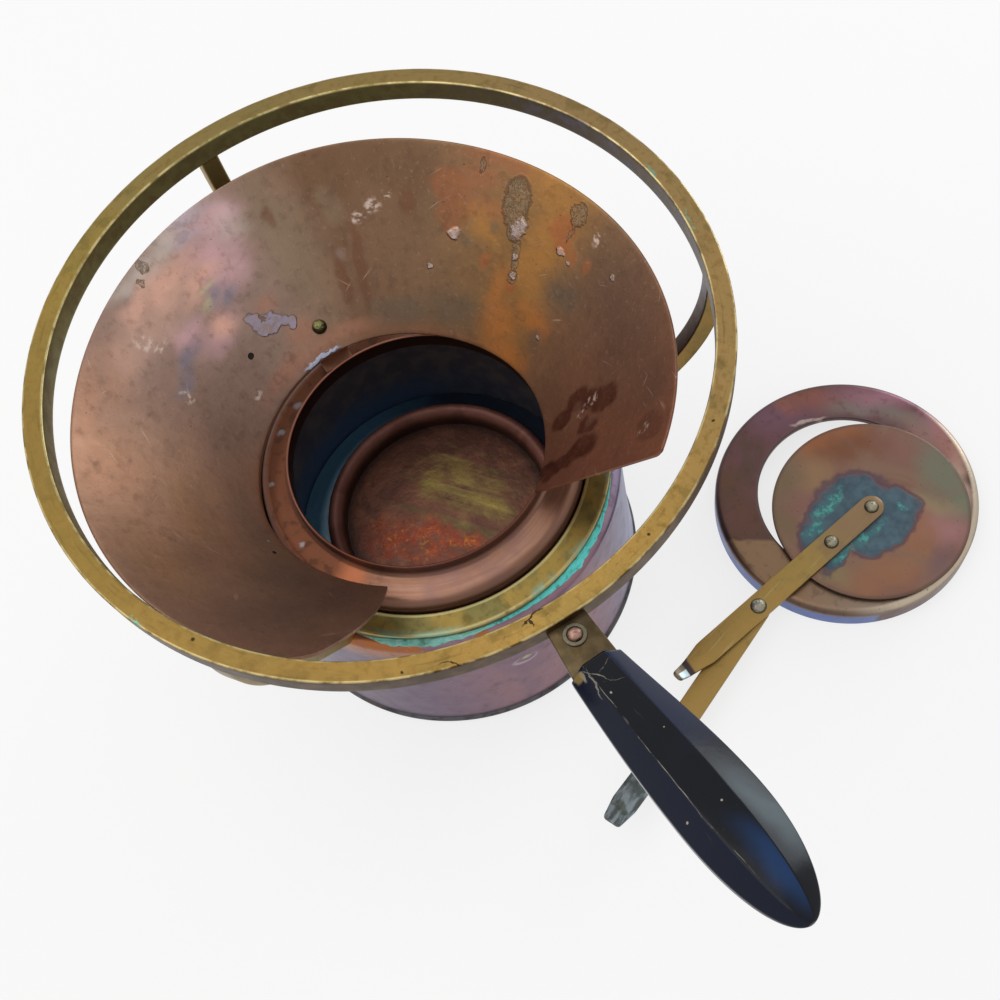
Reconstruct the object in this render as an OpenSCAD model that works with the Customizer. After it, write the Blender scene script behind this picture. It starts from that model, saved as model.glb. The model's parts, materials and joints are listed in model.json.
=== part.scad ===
// Copper and brass burner stand of a chafing dish, with its loose regulator lid
// Millimetres, +Z up, origin on the stand's axis at the table, +X along the handle

/* [Stand] */
// Height of the trivet ring's top above the table
stand_height = 164; // [160:1:190]
// Outer diameter of the trivet ring
ring_d = 230; // [226:1:240]
// Width of the trivet ring's bar
ring_width = 6.8; // [6.6:0.1:7.2]
// Height of the trivet ring's bar
ring_height = 8; // [6.6:0.1:9]
// Width of a leg's bar
leg_width = 7; // [5:0.1:9]
// Thickness of a leg's bar
leg_thickness = 6.4; // [4:0.1:6.6]
// Radius of a leg's bend, at mid thickness
leg_bend = 69; // [50:1:74]
// Angle of the rear leg from the handle
rear_leg_angle = 186; // [180:0.2:194]
// Angle of the left leg from the handle
left_leg_angle = 69.6; // [60:0.2:80]
// Angle of the right leg from the handle
right_leg_angle = 306.8; // [300:0.2:316]

/* [Gallery and base] */
// Height of the gallery's top above the table
gallery_height = 83.5; // [80:0.5:86]
// Inner diameter of the gallery ring
gallery_d = 126; // [125.8:0.1:127]
// Width of the gallery ring
gallery_width = 8.6; // [7:0.1:9]
// Thickness of the gallery ring
gallery_thickness = 3.4; // [3:0.1:4.5]
// Diameter of the base shell under its shoulder
base_top_d = 150; // [148:1:152]
// Diameter of the base shell at its foot
base_foot_d = 155; // [153:1:170]
// Thickness of the rolled foot edge
foot_wire_d = 4; // [3:0.2:5]
// Thickness of the copper sheet
sheet = 1; // [0.8:0.1:1.2]

/* [Burner] */
// Outer diameter of the burner pot
burner_d = 123.2; // [120:0.2:123.4]
// Height of the burner's flange above the table
flange_height = 89; // [87:0.5:92]
// Outer diameter of the burner's collar
collar_d = 99.4; // [94:0.2:104]
// Height of the collar above the table
collar_height = 95.4; // [93:0.2:96.4]
// Height of the burner well's floor above the table
well_floor = 32; // [25:1:40]
// Diameter of the fuel pan's floor inside its bead
pan_floor_d = 84; // [70:1:88]
// Thickness of the fuel pan's rounded bead
pan_bead = 7.6; // [5:0.2:9]

/* [Wind shield] */
// Outer diameter of the shield's cone
shield_d = 200; // [190:1:201]
// Inner diameter of the shield's cone
shield_mouth_d = 106.4; // [104:0.2:112]
// Height of the cone's inner edge above the table
shield_low = 97.2; // [97.2:0.2:101]
// Height of the cone's outer edge above the table
shield_high = 151.5; // [140:0.5:153]
// Angle from the handle to the cone's left end
shield_left = 38; // [25:1:55]
// Angle from the handle to the cone's right end at its rim
shield_right = 40; // [30:0.5:55]
// How far the right end leans from its rim to its mouth
shield_lean = 5.5; // [0:0.5:8]
// How far the cone sits off the axis
shield_shift = 6.9; // [0:0.1:7.4]
// Direction that the cone sits off the axis, from the handle
shield_shift_angle = 278; // [260:1:290]

/* [Handle] */
// Distance of the grip's face from the axis
grip_start = 130.8; // [130:0.2:136]
// Length of the grip
grip_length = 95.5; // [80:0.5:120]
// Width of the grip at its face
grip_neck = 17; // [15:0.2:18]
// Greatest width of the grip's even part
grip_width = 22.4; // [20:0.2:30]
// How far the left side of the grip swells beyond the right
grip_swell = 2; // [0:0.2:3]
// Angle that the grip rises
grip_rise = 19; // [8:1:22]
// Angle that the grip turns off the radius
grip_turn = 2.3; // [0:0.1:4]
// Width of the bracket plate at the grip
bracket_width = 15; // [13.4:0.2:15.6]
// Width of the bracket plate at the ring
bracket_neck = 13; // [10:0.2:14]

/* [Regulator] */
// Outer diameter of the cap
cap_d = 112.4; // [109:0.2:114]
// Height of the cap
cap_height = 10.6; // [9:0.2:14]
// Diameter of the hole in the cap
cap_hole_d = 75.4; // [68:0.2:76]
// Diameter of the shutter disc
disc_d = 83.4; // [80:0.2:83.6]
// Distance of the pivot from the centre of the cap
pivot_reach = 66.7; // [66:0.1:70]
// Length of the arm beyond the pivot
arm_reach = 109; // [100:1:120]
// Angle that the arm turns off the line from the cap through the pivot
arm_turn = 3.2; // [0:0.2:5]
// Length of the lever beyond the pivot, up to its finger tab
lever_reach = 39; // [34:1:44]
// Width of the arm and the lever
strap_width = 10.6; // [9:0.2:11]
// Angle that the shutter lies open as modelled
shutter_open = 11; // [0:1:20]
// Place of the pivot along the handle's direction
pivot_x = 99.2; // [98:0.2:120]
// Place of the pivot across the handle's direction
pivot_y = 89.4; // [86:0.2:110]
// Direction from the pivot to the centre of the cap
cap_heading = 109.8; // [104:0.2:116]

/* [Hidden] */
$fn = 96;

// Colours
copper = "#a8705a";
dark_copper = "#7c5a62";
brass = "#b0914a";
grey = "#6d6f78";
black = "#17191e";

// Gap between two pieces that are fixed together
seam = 0.03;
// Gap around a pin in the hole that it turns in
pin_play = 0.05;
// Gap at the blind end of a pin
blind_gap = 0.2;
// How far two shapes of one piece run into each other
bite = 0.1;
// Room that a cut leaves beyond the surfaces it crosses
over = 1;

// Trivet ring
ring_r = ring_d / 2;
ring_in = ring_r - ring_width;
ring_low = stand_height - ring_height;
ring_edge = 0.4;

// Gallery
gallery_in = gallery_d / 2;
gallery_out = gallery_in + gallery_width;
gallery_low = gallery_height - gallery_thickness;

// Legs: a bend under the ring, then a straight run that touches it, down to the foot
leg_angles = [rear_leg_angle, left_leg_angle, right_leg_angle];
leg_r = ring_in + leg_thickness / 2 + bite;
leg_bend_r = leg_r - leg_bend;
leg_bend_z = ring_low - seam;
leg_foot_r = gallery_out + leg_thickness / 2;
leg_foot_gap = norm([leg_foot_r - leg_bend_r, gallery_height - leg_bend_z]);
leg_run = sqrt(leg_foot_gap * leg_foot_gap - leg_bend * leg_bend);
leg_slant = atan2(leg_bend_z - gallery_height, leg_foot_r - leg_bend_r) - acos(leg_bend / leg_foot_gap);
leg_pin_r = 1.6;
leg_pin_depth = 5;
leg_pin_top = stand_height - 2;
foot_pin_r = 0.9;
foot_pin_depth = 4;
foot_pin_z = gallery_low + gallery_thickness / 2;

// Base
base_top_r = base_top_d / 2;
base_foot_r = base_foot_d / 2;
foot_wire_r = foot_wire_d / 2;
base_shoulder = 4;
base_flare = 1.9;
base_steps = 12;
floor_r = base_foot_r - sheet - foot_wire_r - blind_gap;

// Burner well
well_play = 1.2;
well_in = burner_d / 2 + well_play;
well_out = well_in + sheet;

// Burner
burner_r = burner_d / 2;
collar_r = collar_d / 2;
pot_low = well_floor + sheet + blind_gap;
shoulder_r = 4;
pot_top = flange_height - shoulder_r - 0.5;
flange_rise = 1;
bead_r = pan_bead / 2;
bead_mid = pan_floor_d / 2 + bead_r;
pan_low = pot_low + sheet + seam;
pan_lift = 3;
pan_play = 0.6;

// Wind shield
shield_r = shield_d / 2;
shield_mouth_r = shield_mouth_d / 2;
shield_slope = atan2(shield_high - shield_low, shield_r - shield_mouth_r);
shield_rivet_run = 12;
shield_head_r = 2.8;
shield_head_h = 1.7;
tab_width = 12;
tab_sheet = 1.2;
tab_leaf = 14;
tab_foot = 6;
tail_out = 0.6;

// Handle
plate_thickness = 2.6;
plate_z = stand_height - 3.5 - plate_thickness;
plate_end = grip_start - 0.5;
lug_length = 9;
rivet_r = 1.4;
bracket_rivet_x = ring_r + lug_length / 2;
bracket_head_r = 2.4;
bracket_head_h = 1.5;
washer_r = 3.6;
washer_t = 0.6;
grip_z = plate_z + plate_thickness / 2;
tang_length = 46;
tang_width = 9;
tang_thickness = 2.4;
tang_play = 0.08;
tang_pin_r = 1.2;
tang_pin_run = 30;
tang_root = 4;
grip_peak = 0.58;
grip_flat = 0.44;
grip_flatness = 0.62;
grip_steps = 26;

// Regulator
cap_r = cap_d / 2;
cap_edge = 1.8;
cap_lip = 2.6;
arm_t = 1.5;
arm_tip = 16;
arm_tip_width = 5;
arm_bend_start = 80;
arm_bend = 16;
arm_taper = 9;
arm_end_width = 7.3;
washer_gap_t = 0.9;
lever_t = 1.7;
disc_t = 0.9;
lever_z = cap_height + arm_t + washer_gap_t;
disc_z = lever_z - disc_t;
lever_rivet_runs = [42.6, pivot_reach];
finger_rise = 42;
finger_length = 8.4;
finger_root = 1;
finger_tip_width = 4.4;
finger_r = finger_length / (finger_rise * PI / 180);
finger_steps = 5;
pivot_r = 2;
pivot_washer_r = 4.4;
arm_rivet_run = 13.5;
arm_rivet_r = 1.2;
dome_r = 3.1;
dome_h = 1.9;
pivot_head_r = 3.5;
pivot_tail_h = 1;
lever_play = 0.12;
lever_tail = 9;
lever_tail_width = 0.67 * strap_width;

// Points of an arc in the order of its angles
function arc(x, y, r, from, to, steps) =
    [for (i = [0 : steps]) let (a = from + (to - from) * i / steps) [x + r * cos(a), y + r * sin(a)]];

// Point at a distance and angle from the origin
function polar(r, angle) = [r * cos(angle), r * sin(angle)];

// Points of the finger tab's curl at a radius, from the lever's tail to the tip
function finger_line(r) = arc(-lever_reach, finger_r, r, -90, -90 - finger_rise, finger_steps);

// Points of a list in the other order
function reversed(points) = [for (i = [len(points) - 1 : -1 : 0]) points[i]];

// Ring of rectangular section with small broken edges
module bar_ring(r_in, r_out, low, high, edge) {
    rotate_extrude()
        polygon([[r_in + edge, low], [r_out - edge, low], [r_out, low + edge], [r_out, high - edge],
            [r_out - edge, high], [r_in + edge, high], [r_in, high - edge], [r_in, low + edge]]);
}

// Domed rivet: shank from low to seat, head on the seat
module domed_rivet(shank_r, low, seat, head_r, head_h) {
    ball = (head_r * head_r + head_h * head_h) / (2 * head_h);
    translate([0, 0, low])
        cylinder(r = shank_r, h = seat - low + bite);
    translate([0, 0, seat])
        intersection() {
            translate([0, 0, head_h - ball])
                sphere(r = ball);
            cylinder(r = head_r + over, h = head_h + over);
        }
}

// Outline of one face of the base, inset from the outside, from its ledge to its foot
function base_face(inset) =
    let (top = gallery_low - seam, low = foot_wire_d + seam, shoulder_z = top - base_shoulder)
    concat([[well_out + blind_gap, top - inset]],
        arc(base_top_r - base_shoulder, shoulder_z, base_shoulder - inset, 90, 0, 8),
        [for (i = [1 : base_steps])
            let (t = i / base_steps)
            [base_top_r - inset + (base_foot_r - base_top_r) * pow(t, base_flare),
                shoulder_z - (shoulder_z - low) * t]]);

// Tall copper bell under the gallery
module base_shell() {
    color(dark_copper)
        rotate_extrude()
            polygon(concat(base_face(0), reversed(base_face(sheet))));
}

// Plate that closes the bell underneath
module base_floor() {
    color(dark_copper)
        cylinder(r = floor_r, h = sheet);
}

// Rolled edge that the stand rests on
module foot_ring() {
    color(grey)
        rotate_extrude()
            translate([base_foot_r - sheet, foot_wire_r])
                circle(r = foot_wire_r);
}

// Cup inside the bell that the burner drops into
module burner_well() {
    top = gallery_low - seam;
    color(dark_copper)
        difference() {
            translate([0, 0, well_floor])
                cylinder(r = well_out, h = top - well_floor);
            translate([0, 0, well_floor + sheet])
                cylinder(r = well_in, h = top);
        }
}

// Flat brass ring around the burner
module gallery_ring() {
    color(brass)
        difference() {
            bar_ring(gallery_in, gallery_out, gallery_low, gallery_height, ring_edge);
            for (a = leg_angles)
                rotate([0, 0, a])
                    translate([gallery_out - foot_pin_depth, 0, foot_pin_z])
                        rotate([0, 90, 0])
                            cylinder(r = foot_pin_r + seam, h = foot_pin_depth + over);
        }
}

// Edge of a leg seen from the side, at a distance from its middle line, from the ring down
function leg_edge(side) =
    let (end = leg_run + 2 * leg_thickness, turn = arc(0, 0, leg_bend + side, 0, -leg_slant, 16))
    [for (p = concat(turn, [turn[16] - end * [sin(leg_slant), cos(leg_slant)]]))
        p + [leg_bend_r, leg_bend_z]];

// Side outline of a leg: its bend and its straight run, notched over the gallery
module leg_outline() {
    half = leg_thickness / 2;
    difference() {
        polygon(concat(leg_edge(half), reversed(leg_edge(-half))));
        square([gallery_out + seam, gallery_height + seam]);
        square([ring_d, gallery_low + seam]);
    }
}

// Bar leg with the holes of its two pins
module leg(angle) {
    color(brass)
        rotate([0, 0, angle])
            difference() {
                rotate([90, 0, 0])
                    linear_extrude(leg_width, center = true)
                        leg_outline();
                translate([leg_r, 0, ring_low - leg_pin_depth])
                    cylinder(r = leg_pin_r + seam, h = leg_pin_depth + over);
                translate([gallery_out - over, 0, foot_pin_z])
                    rotate([0, 90, 0])
                        cylinder(r = foot_pin_r + seam, h = foot_pin_depth + over);
            }
}

module leg_rear() {
    leg(leg_angles[0]);
}

module leg_left() {
    leg(leg_angles[1]);
}

module leg_right() {
    leg(leg_angles[2]);
}

// Turned ring that the pan sits on
module trivet_ring() {
    color(brass)
        difference() {
            bar_ring(ring_in, ring_r, ring_low, stand_height, ring_edge);
            for (a = leg_angles)
                rotate([0, 0, a])
                    translate([leg_r, 0, ring_low - over])
                        cylinder(r = leg_pin_r + seam, h = leg_pin_top - ring_low + over);
        }
}

// Pins that hold the legs to the trivet ring
module leg_pins() {
    low = ring_low - leg_pin_depth + blind_gap;
    color(brass)
        for (a = leg_angles)
            rotate([0, 0, a])
                translate([leg_r, 0, low])
                    cylinder(r = leg_pin_r, h = leg_pin_top - blind_gap - low);
}

// Pins that hold the legs to the gallery
module foot_pins() {
    color(brass)
        for (a = leg_angles)
            rotate([0, 0, a])
                translate([gallery_out - foot_pin_depth + blind_gap, 0, foot_pin_z])
                    rotate([0, 90, 0])
                        cylinder(r = foot_pin_r, h = 2 * (foot_pin_depth - blind_gap));
}

// Flat piece from the ring outwards, with its end shaped to the ring
module ring_plate(length, neck, width, low, thickness) {
    difference() {
        translate([ring_r, 0, low])
            linear_extrude(thickness)
                polygon([[-over, -neck / 2], [0, -neck / 2], [length, -width / 2],
                    [length, width / 2], [0, neck / 2], [-over, neck / 2]]);
        translate([0, 0, low - over])
            cylinder(r = ring_r + seam, h = thickness + 2 * over, $fn = 192);
        translate([bracket_rivet_x, 0, low - over])
            cylinder(r = rivet_r + seam, h = thickness + 2 * over);
    }
}

// Small pad on the outside of the ring, under the bracket
module ring_lug() {
    low = ring_low + blind_gap;
    width = bracket_neck - 2;
    color(brass)
        ring_plate(lug_length, width, width, low, plate_z - seam - low);
}

// Places children in the grip's own frame: X along the grip, from its face
module at_grip() {
    translate([grip_start, 0, grip_z])
        rotate([0, -grip_rise, grip_turn])
            children();
}

// Plate of the handle, with the tang that goes into the grip
module handle_bracket() {
    color(brass)
        difference() {
            union() {
                ring_plate(plate_end - ring_r, bracket_neck, bracket_width, plate_z, plate_thickness);
                at_grip()
                    translate([-tang_root, -tang_width / 2, -tang_thickness / 2])
                        cube([tang_length + tang_root, tang_width, tang_thickness]);
            }
            at_grip()
                translate([tang_pin_run, 0, -tang_thickness])
                    cylinder(r = tang_pin_r + seam, h = 2 * tang_thickness);
        }
}

// Flat washer under the head of the bracket rivet
module bracket_washer() {
    color(brass)
        translate([bracket_rivet_x, 0, plate_z + plate_thickness + seam])
            difference() {
                cylinder(r = washer_r, h = washer_t);
                translate([0, 0, -over])
                    cylinder(r = rivet_r + seam, h = washer_t + 2 * over);
            }
}

// Domed rivet through the bracket and the lug
module bracket_rivet() {
    seat = plate_z + plate_thickness + washer_t + 2 * seam;
    color(copper)
        translate([bracket_rivet_x, 0, 0])
            domed_rivet(rivet_r, ring_low, seat, bracket_head_r, bracket_head_h);
}

// Half width of the grip, from 0 at its face to 1 at its tip
function grip_half(t) = t < grip_peak
    ? (grip_neck + (grip_width - grip_neck) * sin(90 * t / grip_peak)) / 2
    : grip_width / 2 * pow(1 - pow((t - grip_peak) / (1.002 - grip_peak), 2.3), 0.5);

// Section of the grip: eight corners with a flat top and bevelled sides, of which the left one swells
function grip_section(t) =
    let (w = grip_half(t), h = grip_flatness * w, flat = grip_flat * w)
    let (side = 0.22 * h, x = grip_length * t, left = w + grip_swell * sin(180 * pow(t, 1.5)))
    [[x, flat, h], [x, -flat, h], [x, -w, side], [x, -w, -side],
        [x, -flat, -h], [x, flat, -h], [x, left, -side], [x, left, side]];

// Black faceted grip with the slot of the tang and the hole of its pin
module handle_grip() {
    rings = [for (i = [0 : grip_steps]) grip_section(1 - pow(1 - i / grip_steps, 1.5))];
    sides = [for (i = [0 : grip_steps - 1], k = [0 : 7], half = [0, 1])
        let (a = i * 8 + k, b = i * 8 + (k + 1) % 8)
        half == 0 ? [a, b, b + 8] : [a, b + 8, a + 8]];
    ends = [for (k = [1 : 6], last = [0, 1])
        last == 0 ? [0, k + 1, k] : [grip_steps * 8, grip_steps * 8 + k, grip_steps * 8 + k + 1]];
    color(black)
        at_grip()
            difference() {
                polyhedron([for (r = rings) each r], concat(sides, ends));
                translate([-over, -tang_width / 2 - tang_play, -tang_thickness / 2 - tang_play])
                    cube([tang_length + over + blind_gap, tang_width + 2 * tang_play,
                        tang_thickness + 2 * tang_play]);
                translate([tang_pin_run, 0, -grip_width])
                    cylinder(r = tang_pin_r + seam, h = grip_width);
            }
}

// Cross pin that keeps the grip on the tang, driven in from below
module tang_pin() {
    low = blind_gap - grip_flatness * grip_half(tang_pin_run / grip_length);
    color(brass)
        at_grip()
            translate([tang_pin_run, 0, low])
                cylinder(r = tang_pin_r, h = tang_thickness / 2 - low);
}

// Fuel pot
module burner_pot() {
    color(copper)
        difference() {
            translate([0, 0, pot_low])
                cylinder(r = burner_r, h = pot_top - pot_low);
            translate([0, 0, pot_low + sheet])
                cylinder(r = burner_r - sheet, h = pot_top);
        }
}

// Flange with a rounded shoulder and the collar around the opening
module burner_top() {
    low = pot_top + seam;
    mid = flange_height + flange_rise;
    outside = concat([[burner_r, low]],
        arc(burner_r - shoulder_r, flange_height - shoulder_r, shoulder_r, 0, 90, 8),
        [[collar_r + 1, mid], [collar_r, mid + 1], [collar_r, collar_height]]);
    inside = concat([[collar_r - sheet, collar_height], [collar_r - sheet, mid - sheet]],
        arc(burner_r - shoulder_r, flange_height - shoulder_r, shoulder_r - sheet, 90, 0, 8),
        [[burner_r - sheet, low]]);
    color(copper)
        rotate_extrude()
            polygon(concat(outside, inside));
}

// Pressed floor of the burner with its rounded bead
module fuel_pan() {
    rim = burner_r - sheet - pan_play;
    floor_z = pan_low + pan_lift;
    upper = concat([[rim, pan_low + sheet], [bead_mid + bead_r, pan_low + sheet]],
        arc(bead_mid, floor_z, bead_r, 0, 180, 16), [[0, floor_z]]);
    lower = concat([[0, floor_z - sheet], [bead_mid - bead_r + sheet, floor_z - sheet]],
        arc(bead_mid, floor_z, bead_r - sheet, 180, 0, 16),
        [[bead_mid + bead_r - sheet, pan_low], [rim, pan_low]]);
    color(copper)
        rotate_extrude()
            polygon(concat(upper, lower));
}

// Places children in the shield's own frame, on its shifted axis
module at_shield() {
    translate(polar(shield_shift, shield_shift_angle))
        children();
}

// C-shaped cone, open towards the handle
module wind_shield() {
    wall = sheet / cos(shield_slope);
    mouth_right = polar(shield_mouth_r, shield_lean - shield_right);
    rim_right = polar(shield_r, -shield_right);
    past_rim = rim_right + (rim_right - mouth_right) / 2;
    color(copper)
        at_shield()
            difference() {
                rotate_extrude()
                    polygon([[shield_mouth_r, shield_low - wall], [shield_r, shield_high - wall],
                        [shield_r, shield_high], [shield_mouth_r, shield_low]]);
                linear_extrude(stand_height)
                    polygon([[0, 0], mouth_right, past_rim, [ring_d, past_rim[1]],
                        [ring_d, ring_d * tan(shield_left)]]);
                at_shield_rivet()
                    translate([0, 0, -over - sheet])
                        cylinder(r = rivet_r + seam, h = sheet + 2 * over);
            }
}

// Places children at the shield's rivet, Z square to the cone's upper face
module at_shield_rivet() {
    run = shield_rivet_run * cos(shield_slope);
    translate([-shield_mouth_r - run, 0, shield_low + run * tan(shield_slope)])
        rotate([0, shield_slope, 0])
            children();
}

// Bent strip from the burner's flange up to the underside of the shield
module shield_tab() {
    foot_x = -shield_mouth_r - 4.6 - tab_sheet / 2;
    foot_z = flange_height + flange_rise + seam;
    color(brass)
        at_shield()
            union() {
                at_shield_rivet()
                    difference() {
                        translate([-tab_leaf / 2 + over, -tab_width / 2, -sheet - tab_sheet - seam])
                            cube([tab_leaf, tab_width, tab_sheet]);
                        translate([0, 0, -sheet - tab_sheet - over])
                            cylinder(r = rivet_r + seam, h = tab_sheet + 2 * over);
                    }
                translate([foot_x, -tab_width / 2, foot_z])
                    cube([tab_sheet, tab_width, shield_low - foot_z + 2.5]);
                translate([foot_x, -tab_width / 2, foot_z])
                    cube([tab_foot, tab_width, tab_sheet]);
            }
}

// Domed rivet that holds the shield on its tab
module shield_rivet() {
    color(brass)
        at_shield()
            at_shield_rivet()
                domed_rivet(rivet_r, -sheet - tab_sheet - tail_out, seam, shield_head_r, shield_head_h);
}

// Places children in the regulator's frame: origin at the pivot, X to the cap
module at_regulator() {
    translate([pivot_x, pivot_y, 0])
        rotate([0, 0, cap_heading])
            children();
}

// Places children in the arm's frame, which runs along X through the pivot
module at_arm() {
    at_regulator()
        rotate([0, 0, arm_turn])
            children();
}

// Places children in the shutter's frame, turned open about the pivot
module at_shutter() {
    at_regulator()
        rotate([0, 0, -shutter_open])
            children();
}

// Ring with a turned-down skirt and a short lip around its hole
module regulator_cap() {
    hole_r = cap_hole_d / 2;
    outside = concat([[cap_r, 0]], arc(cap_r - cap_edge, cap_height - cap_edge, cap_edge, 0, 90, 8),
        [[hole_r, cap_height], [hole_r, cap_height - cap_lip]]);
    inside = concat([[hole_r + sheet, cap_height - cap_lip], [hole_r + sheet, cap_height - sheet]],
        arc(cap_r - cap_edge, cap_height - cap_edge, cap_edge - sheet, 90, 0, 8),
        [[cap_r - sheet, 0]]);
    color(dark_copper)
        difference() {
            at_regulator()
                translate([pivot_reach, 0, 0])
                    rotate_extrude()
                        polygon(concat(outside, inside));
            at_arm()
                translate([arm_rivet_run, 0, 0])
                    cylinder(r = arm_rivet_r + seam, h = cap_height + over);
        }
}

// Long strap handle of the regulator, with its end bent up
module regulator_arm() {
    far_x = -arm_reach - over;
    rise = (-far_x - arm_bend_start) * tan(arm_bend);
    color(brass)
        at_arm()
            translate([0, 0, cap_height + seam])
                difference() {
                    intersection() {
                        rotate([90, 0, 0])
                            linear_extrude(2 * strap_width, center = true)
                                polygon([[arm_tip + over, 0], [-arm_bend_start, 0], [far_x, rise],
                                    [far_x, rise + arm_t / cos(arm_bend)],
                                    [arm_t * tan(arm_bend / 2) - arm_bend_start, arm_t],
                                    [arm_tip + over, arm_t]]);
                        translate([0, 0, -over])
                            linear_extrude(rise + strap_width)
                                polygon([[arm_tip, -arm_tip_width / 2], [arm_tip, arm_tip_width / 2],
                                    [0, strap_width / 2], [arm_taper - arm_reach, strap_width / 2],
                                    [-arm_reach, arm_end_width / 2], [-arm_reach, -arm_end_width / 2],
                                    [arm_taper - arm_reach, -strap_width / 2], [0, -strap_width / 2]]);
                    }
                    translate([0, 0, -over])
                        cylinder(r = pivot_r + seam, h = arm_t + 2 * over);
                    translate([arm_rivet_run, 0, -over])
                        cylinder(r = arm_rivet_r + seam, h = arm_t + 2 * over);
                }
}

// Flush rivet that fixes the arm to the cap
module arm_rivet() {
    low = cap_height - sheet - tail_out;
    color(brass)
        at_arm()
            translate([arm_rivet_run, 0, low])
                cylinder(r = arm_rivet_r, h = cap_height + arm_t - low);
}

// Washer between the arm and the lever
module pivot_washer() {
    low = cap_height + seam + arm_t + seam;
    color(brass)
        at_regulator()
            translate([0, 0, low])
                difference() {
                    cylinder(r = pivot_washer_r, h = washer_gap_t - blind_gap);
                    translate([0, 0, -over])
                        cylinder(r = pivot_r + seam, h = washer_gap_t + 2 * over);
                }
}

// Rivet that the lever turns on, with a tail under the arm
module pivot_rivet() {
    seat = lever_z + lever_t + lever_play;
    tail_z = cap_height - pivot_tail_h;
    color(brass)
        at_regulator()
            union() {
                domed_rivet(pivot_r, tail_z, seat, pivot_head_r, dome_h);
                translate([0, 0, tail_z])
                    cylinder(r = pivot_r + 1, h = pivot_tail_h - seam);
            }
}

// Disc that closes the hole of the cap
module shutter_disc() {
    color(copper)
        at_shutter()
            difference() {
                translate([pivot_reach, 0, disc_z])
                    cylinder(r = disc_d / 2, h = disc_t - seam);
                for (x = lever_rivet_runs)
                    translate([x, 0, disc_z - over])
                        cylinder(r = rivet_r + seam, h = disc_t + 2 * over);
            }
}

// Lever over the disc, with a tapered tail and a finger tab that curls up
module shutter_lever() {
    tail_x = lever_tail - lever_reach;
    root_x = finger_root - lever_reach;
    tip_x = -lever_reach - finger_length;
    far_x = pivot_reach + strap_width;
    color(brass)
        at_shutter()
            translate([0, 0, lever_z])
                difference() {
                    intersection() {
                        rotate([90, 0, 0])
                            linear_extrude(2 * strap_width, center = true)
                                polygon(concat([[far_x, lever_t], [far_x, 0]], finger_line(finger_r),
                                    reversed(finger_line(finger_r - lever_t))));
                        translate([0, 0, -over])
                            linear_extrude(finger_length + lever_t)
                                union() {
                                    polygon([[tip_x, -finger_tip_width / 2], [root_x, -lever_tail_width / 2],
                                        [tail_x, -strap_width / 2], [pivot_reach, -strap_width / 2],
                                        [pivot_reach, strap_width / 2], [tail_x, strap_width / 2],
                                        [root_x, lever_tail_width / 2], [tip_x, finger_tip_width / 2]]);
                                    translate([pivot_reach, 0])
                                        circle(d = strap_width);
                                }
                    }
                    translate([0, 0, -over])
                        cylinder(r = pivot_r + pin_play, h = lever_t + 2 * over);
                    for (x = lever_rivet_runs)
                        translate([x, 0, -over])
                            cylinder(r = rivet_r + seam, h = lever_t + 2 * over);
                }
}

// Domed rivets that fix the lever to the disc
module lever_rivets() {
    color(brass)
        at_shutter()
            for (x = lever_rivet_runs)
                translate([x, 0, 0])
                    domed_rivet(rivet_r, disc_z - tail_out, lever_z + lever_t + seam, dome_r, dome_h);
}

base_shell();
base_floor();
foot_ring();
burner_well();
gallery_ring();
leg_rear();
leg_left();
leg_right();
trivet_ring();
leg_pins();
foot_pins();
ring_lug();
handle_bracket();
bracket_washer();
bracket_rivet();
handle_grip();
tang_pin();
burner_pot();
burner_top();
fuel_pan();
wind_shield();
shield_tab();
shield_rivet();
regulator_cap();
regulator_arm();
arm_rivet();
pivot_washer();
pivot_rivet();
shutter_disc();
shutter_lever();
lever_rivets();
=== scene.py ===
import json
import math
from functools import reduce
from operator import and_, or_

import bmesh
import bpy
import numpy as np
from bpy.props import FloatProperty, FloatVectorProperty, PointerProperty
from mathutils import Matrix, Vector


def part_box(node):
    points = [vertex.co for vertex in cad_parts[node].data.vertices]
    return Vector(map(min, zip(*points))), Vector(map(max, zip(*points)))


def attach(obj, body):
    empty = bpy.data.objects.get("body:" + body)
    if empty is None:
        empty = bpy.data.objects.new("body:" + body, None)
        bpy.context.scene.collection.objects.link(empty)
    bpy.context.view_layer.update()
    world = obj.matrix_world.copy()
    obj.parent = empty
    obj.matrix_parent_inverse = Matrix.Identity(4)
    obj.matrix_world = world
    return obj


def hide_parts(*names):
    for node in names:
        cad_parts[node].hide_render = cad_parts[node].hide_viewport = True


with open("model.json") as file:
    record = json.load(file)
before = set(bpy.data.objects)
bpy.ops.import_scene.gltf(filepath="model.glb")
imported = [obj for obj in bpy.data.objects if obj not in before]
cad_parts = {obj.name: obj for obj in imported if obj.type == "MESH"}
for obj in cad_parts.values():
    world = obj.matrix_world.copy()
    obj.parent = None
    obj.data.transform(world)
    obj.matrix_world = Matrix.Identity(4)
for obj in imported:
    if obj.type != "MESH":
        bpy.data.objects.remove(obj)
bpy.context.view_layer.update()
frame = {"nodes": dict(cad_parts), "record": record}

bl_info = {
    "name": "Burner Stand",
    "version": (1, 0, 0),
    "blender": (4, 5, 0),
    "location": "View3D > Sidebar > Burner Stand",
    "description": "Dresses the copper and brass burner stand of a chafing dish and its regulator lid",
    "category": "Object",
}

BOX = {name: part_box(name) for name in frame["nodes"]}
JOINT = {joint["name"]: joint for joint in frame["record"]["behaviour"]["joints"]}
MM = 0.001
WHITE = (1, 1, 1)
BEAD_HEADING = math.radians(110)


def tint(code):
    """Linear colour of a written sRGB code such as 8a5a44."""
    parts = np.array([int(code[i:i + 2], 16) for i in (0, 2, 4)]) / 255
    return tuple(np.where(parts < 0.04045, parts / 12.92, ((parts + 0.055) / 1.055) ** 2.4))


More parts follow.
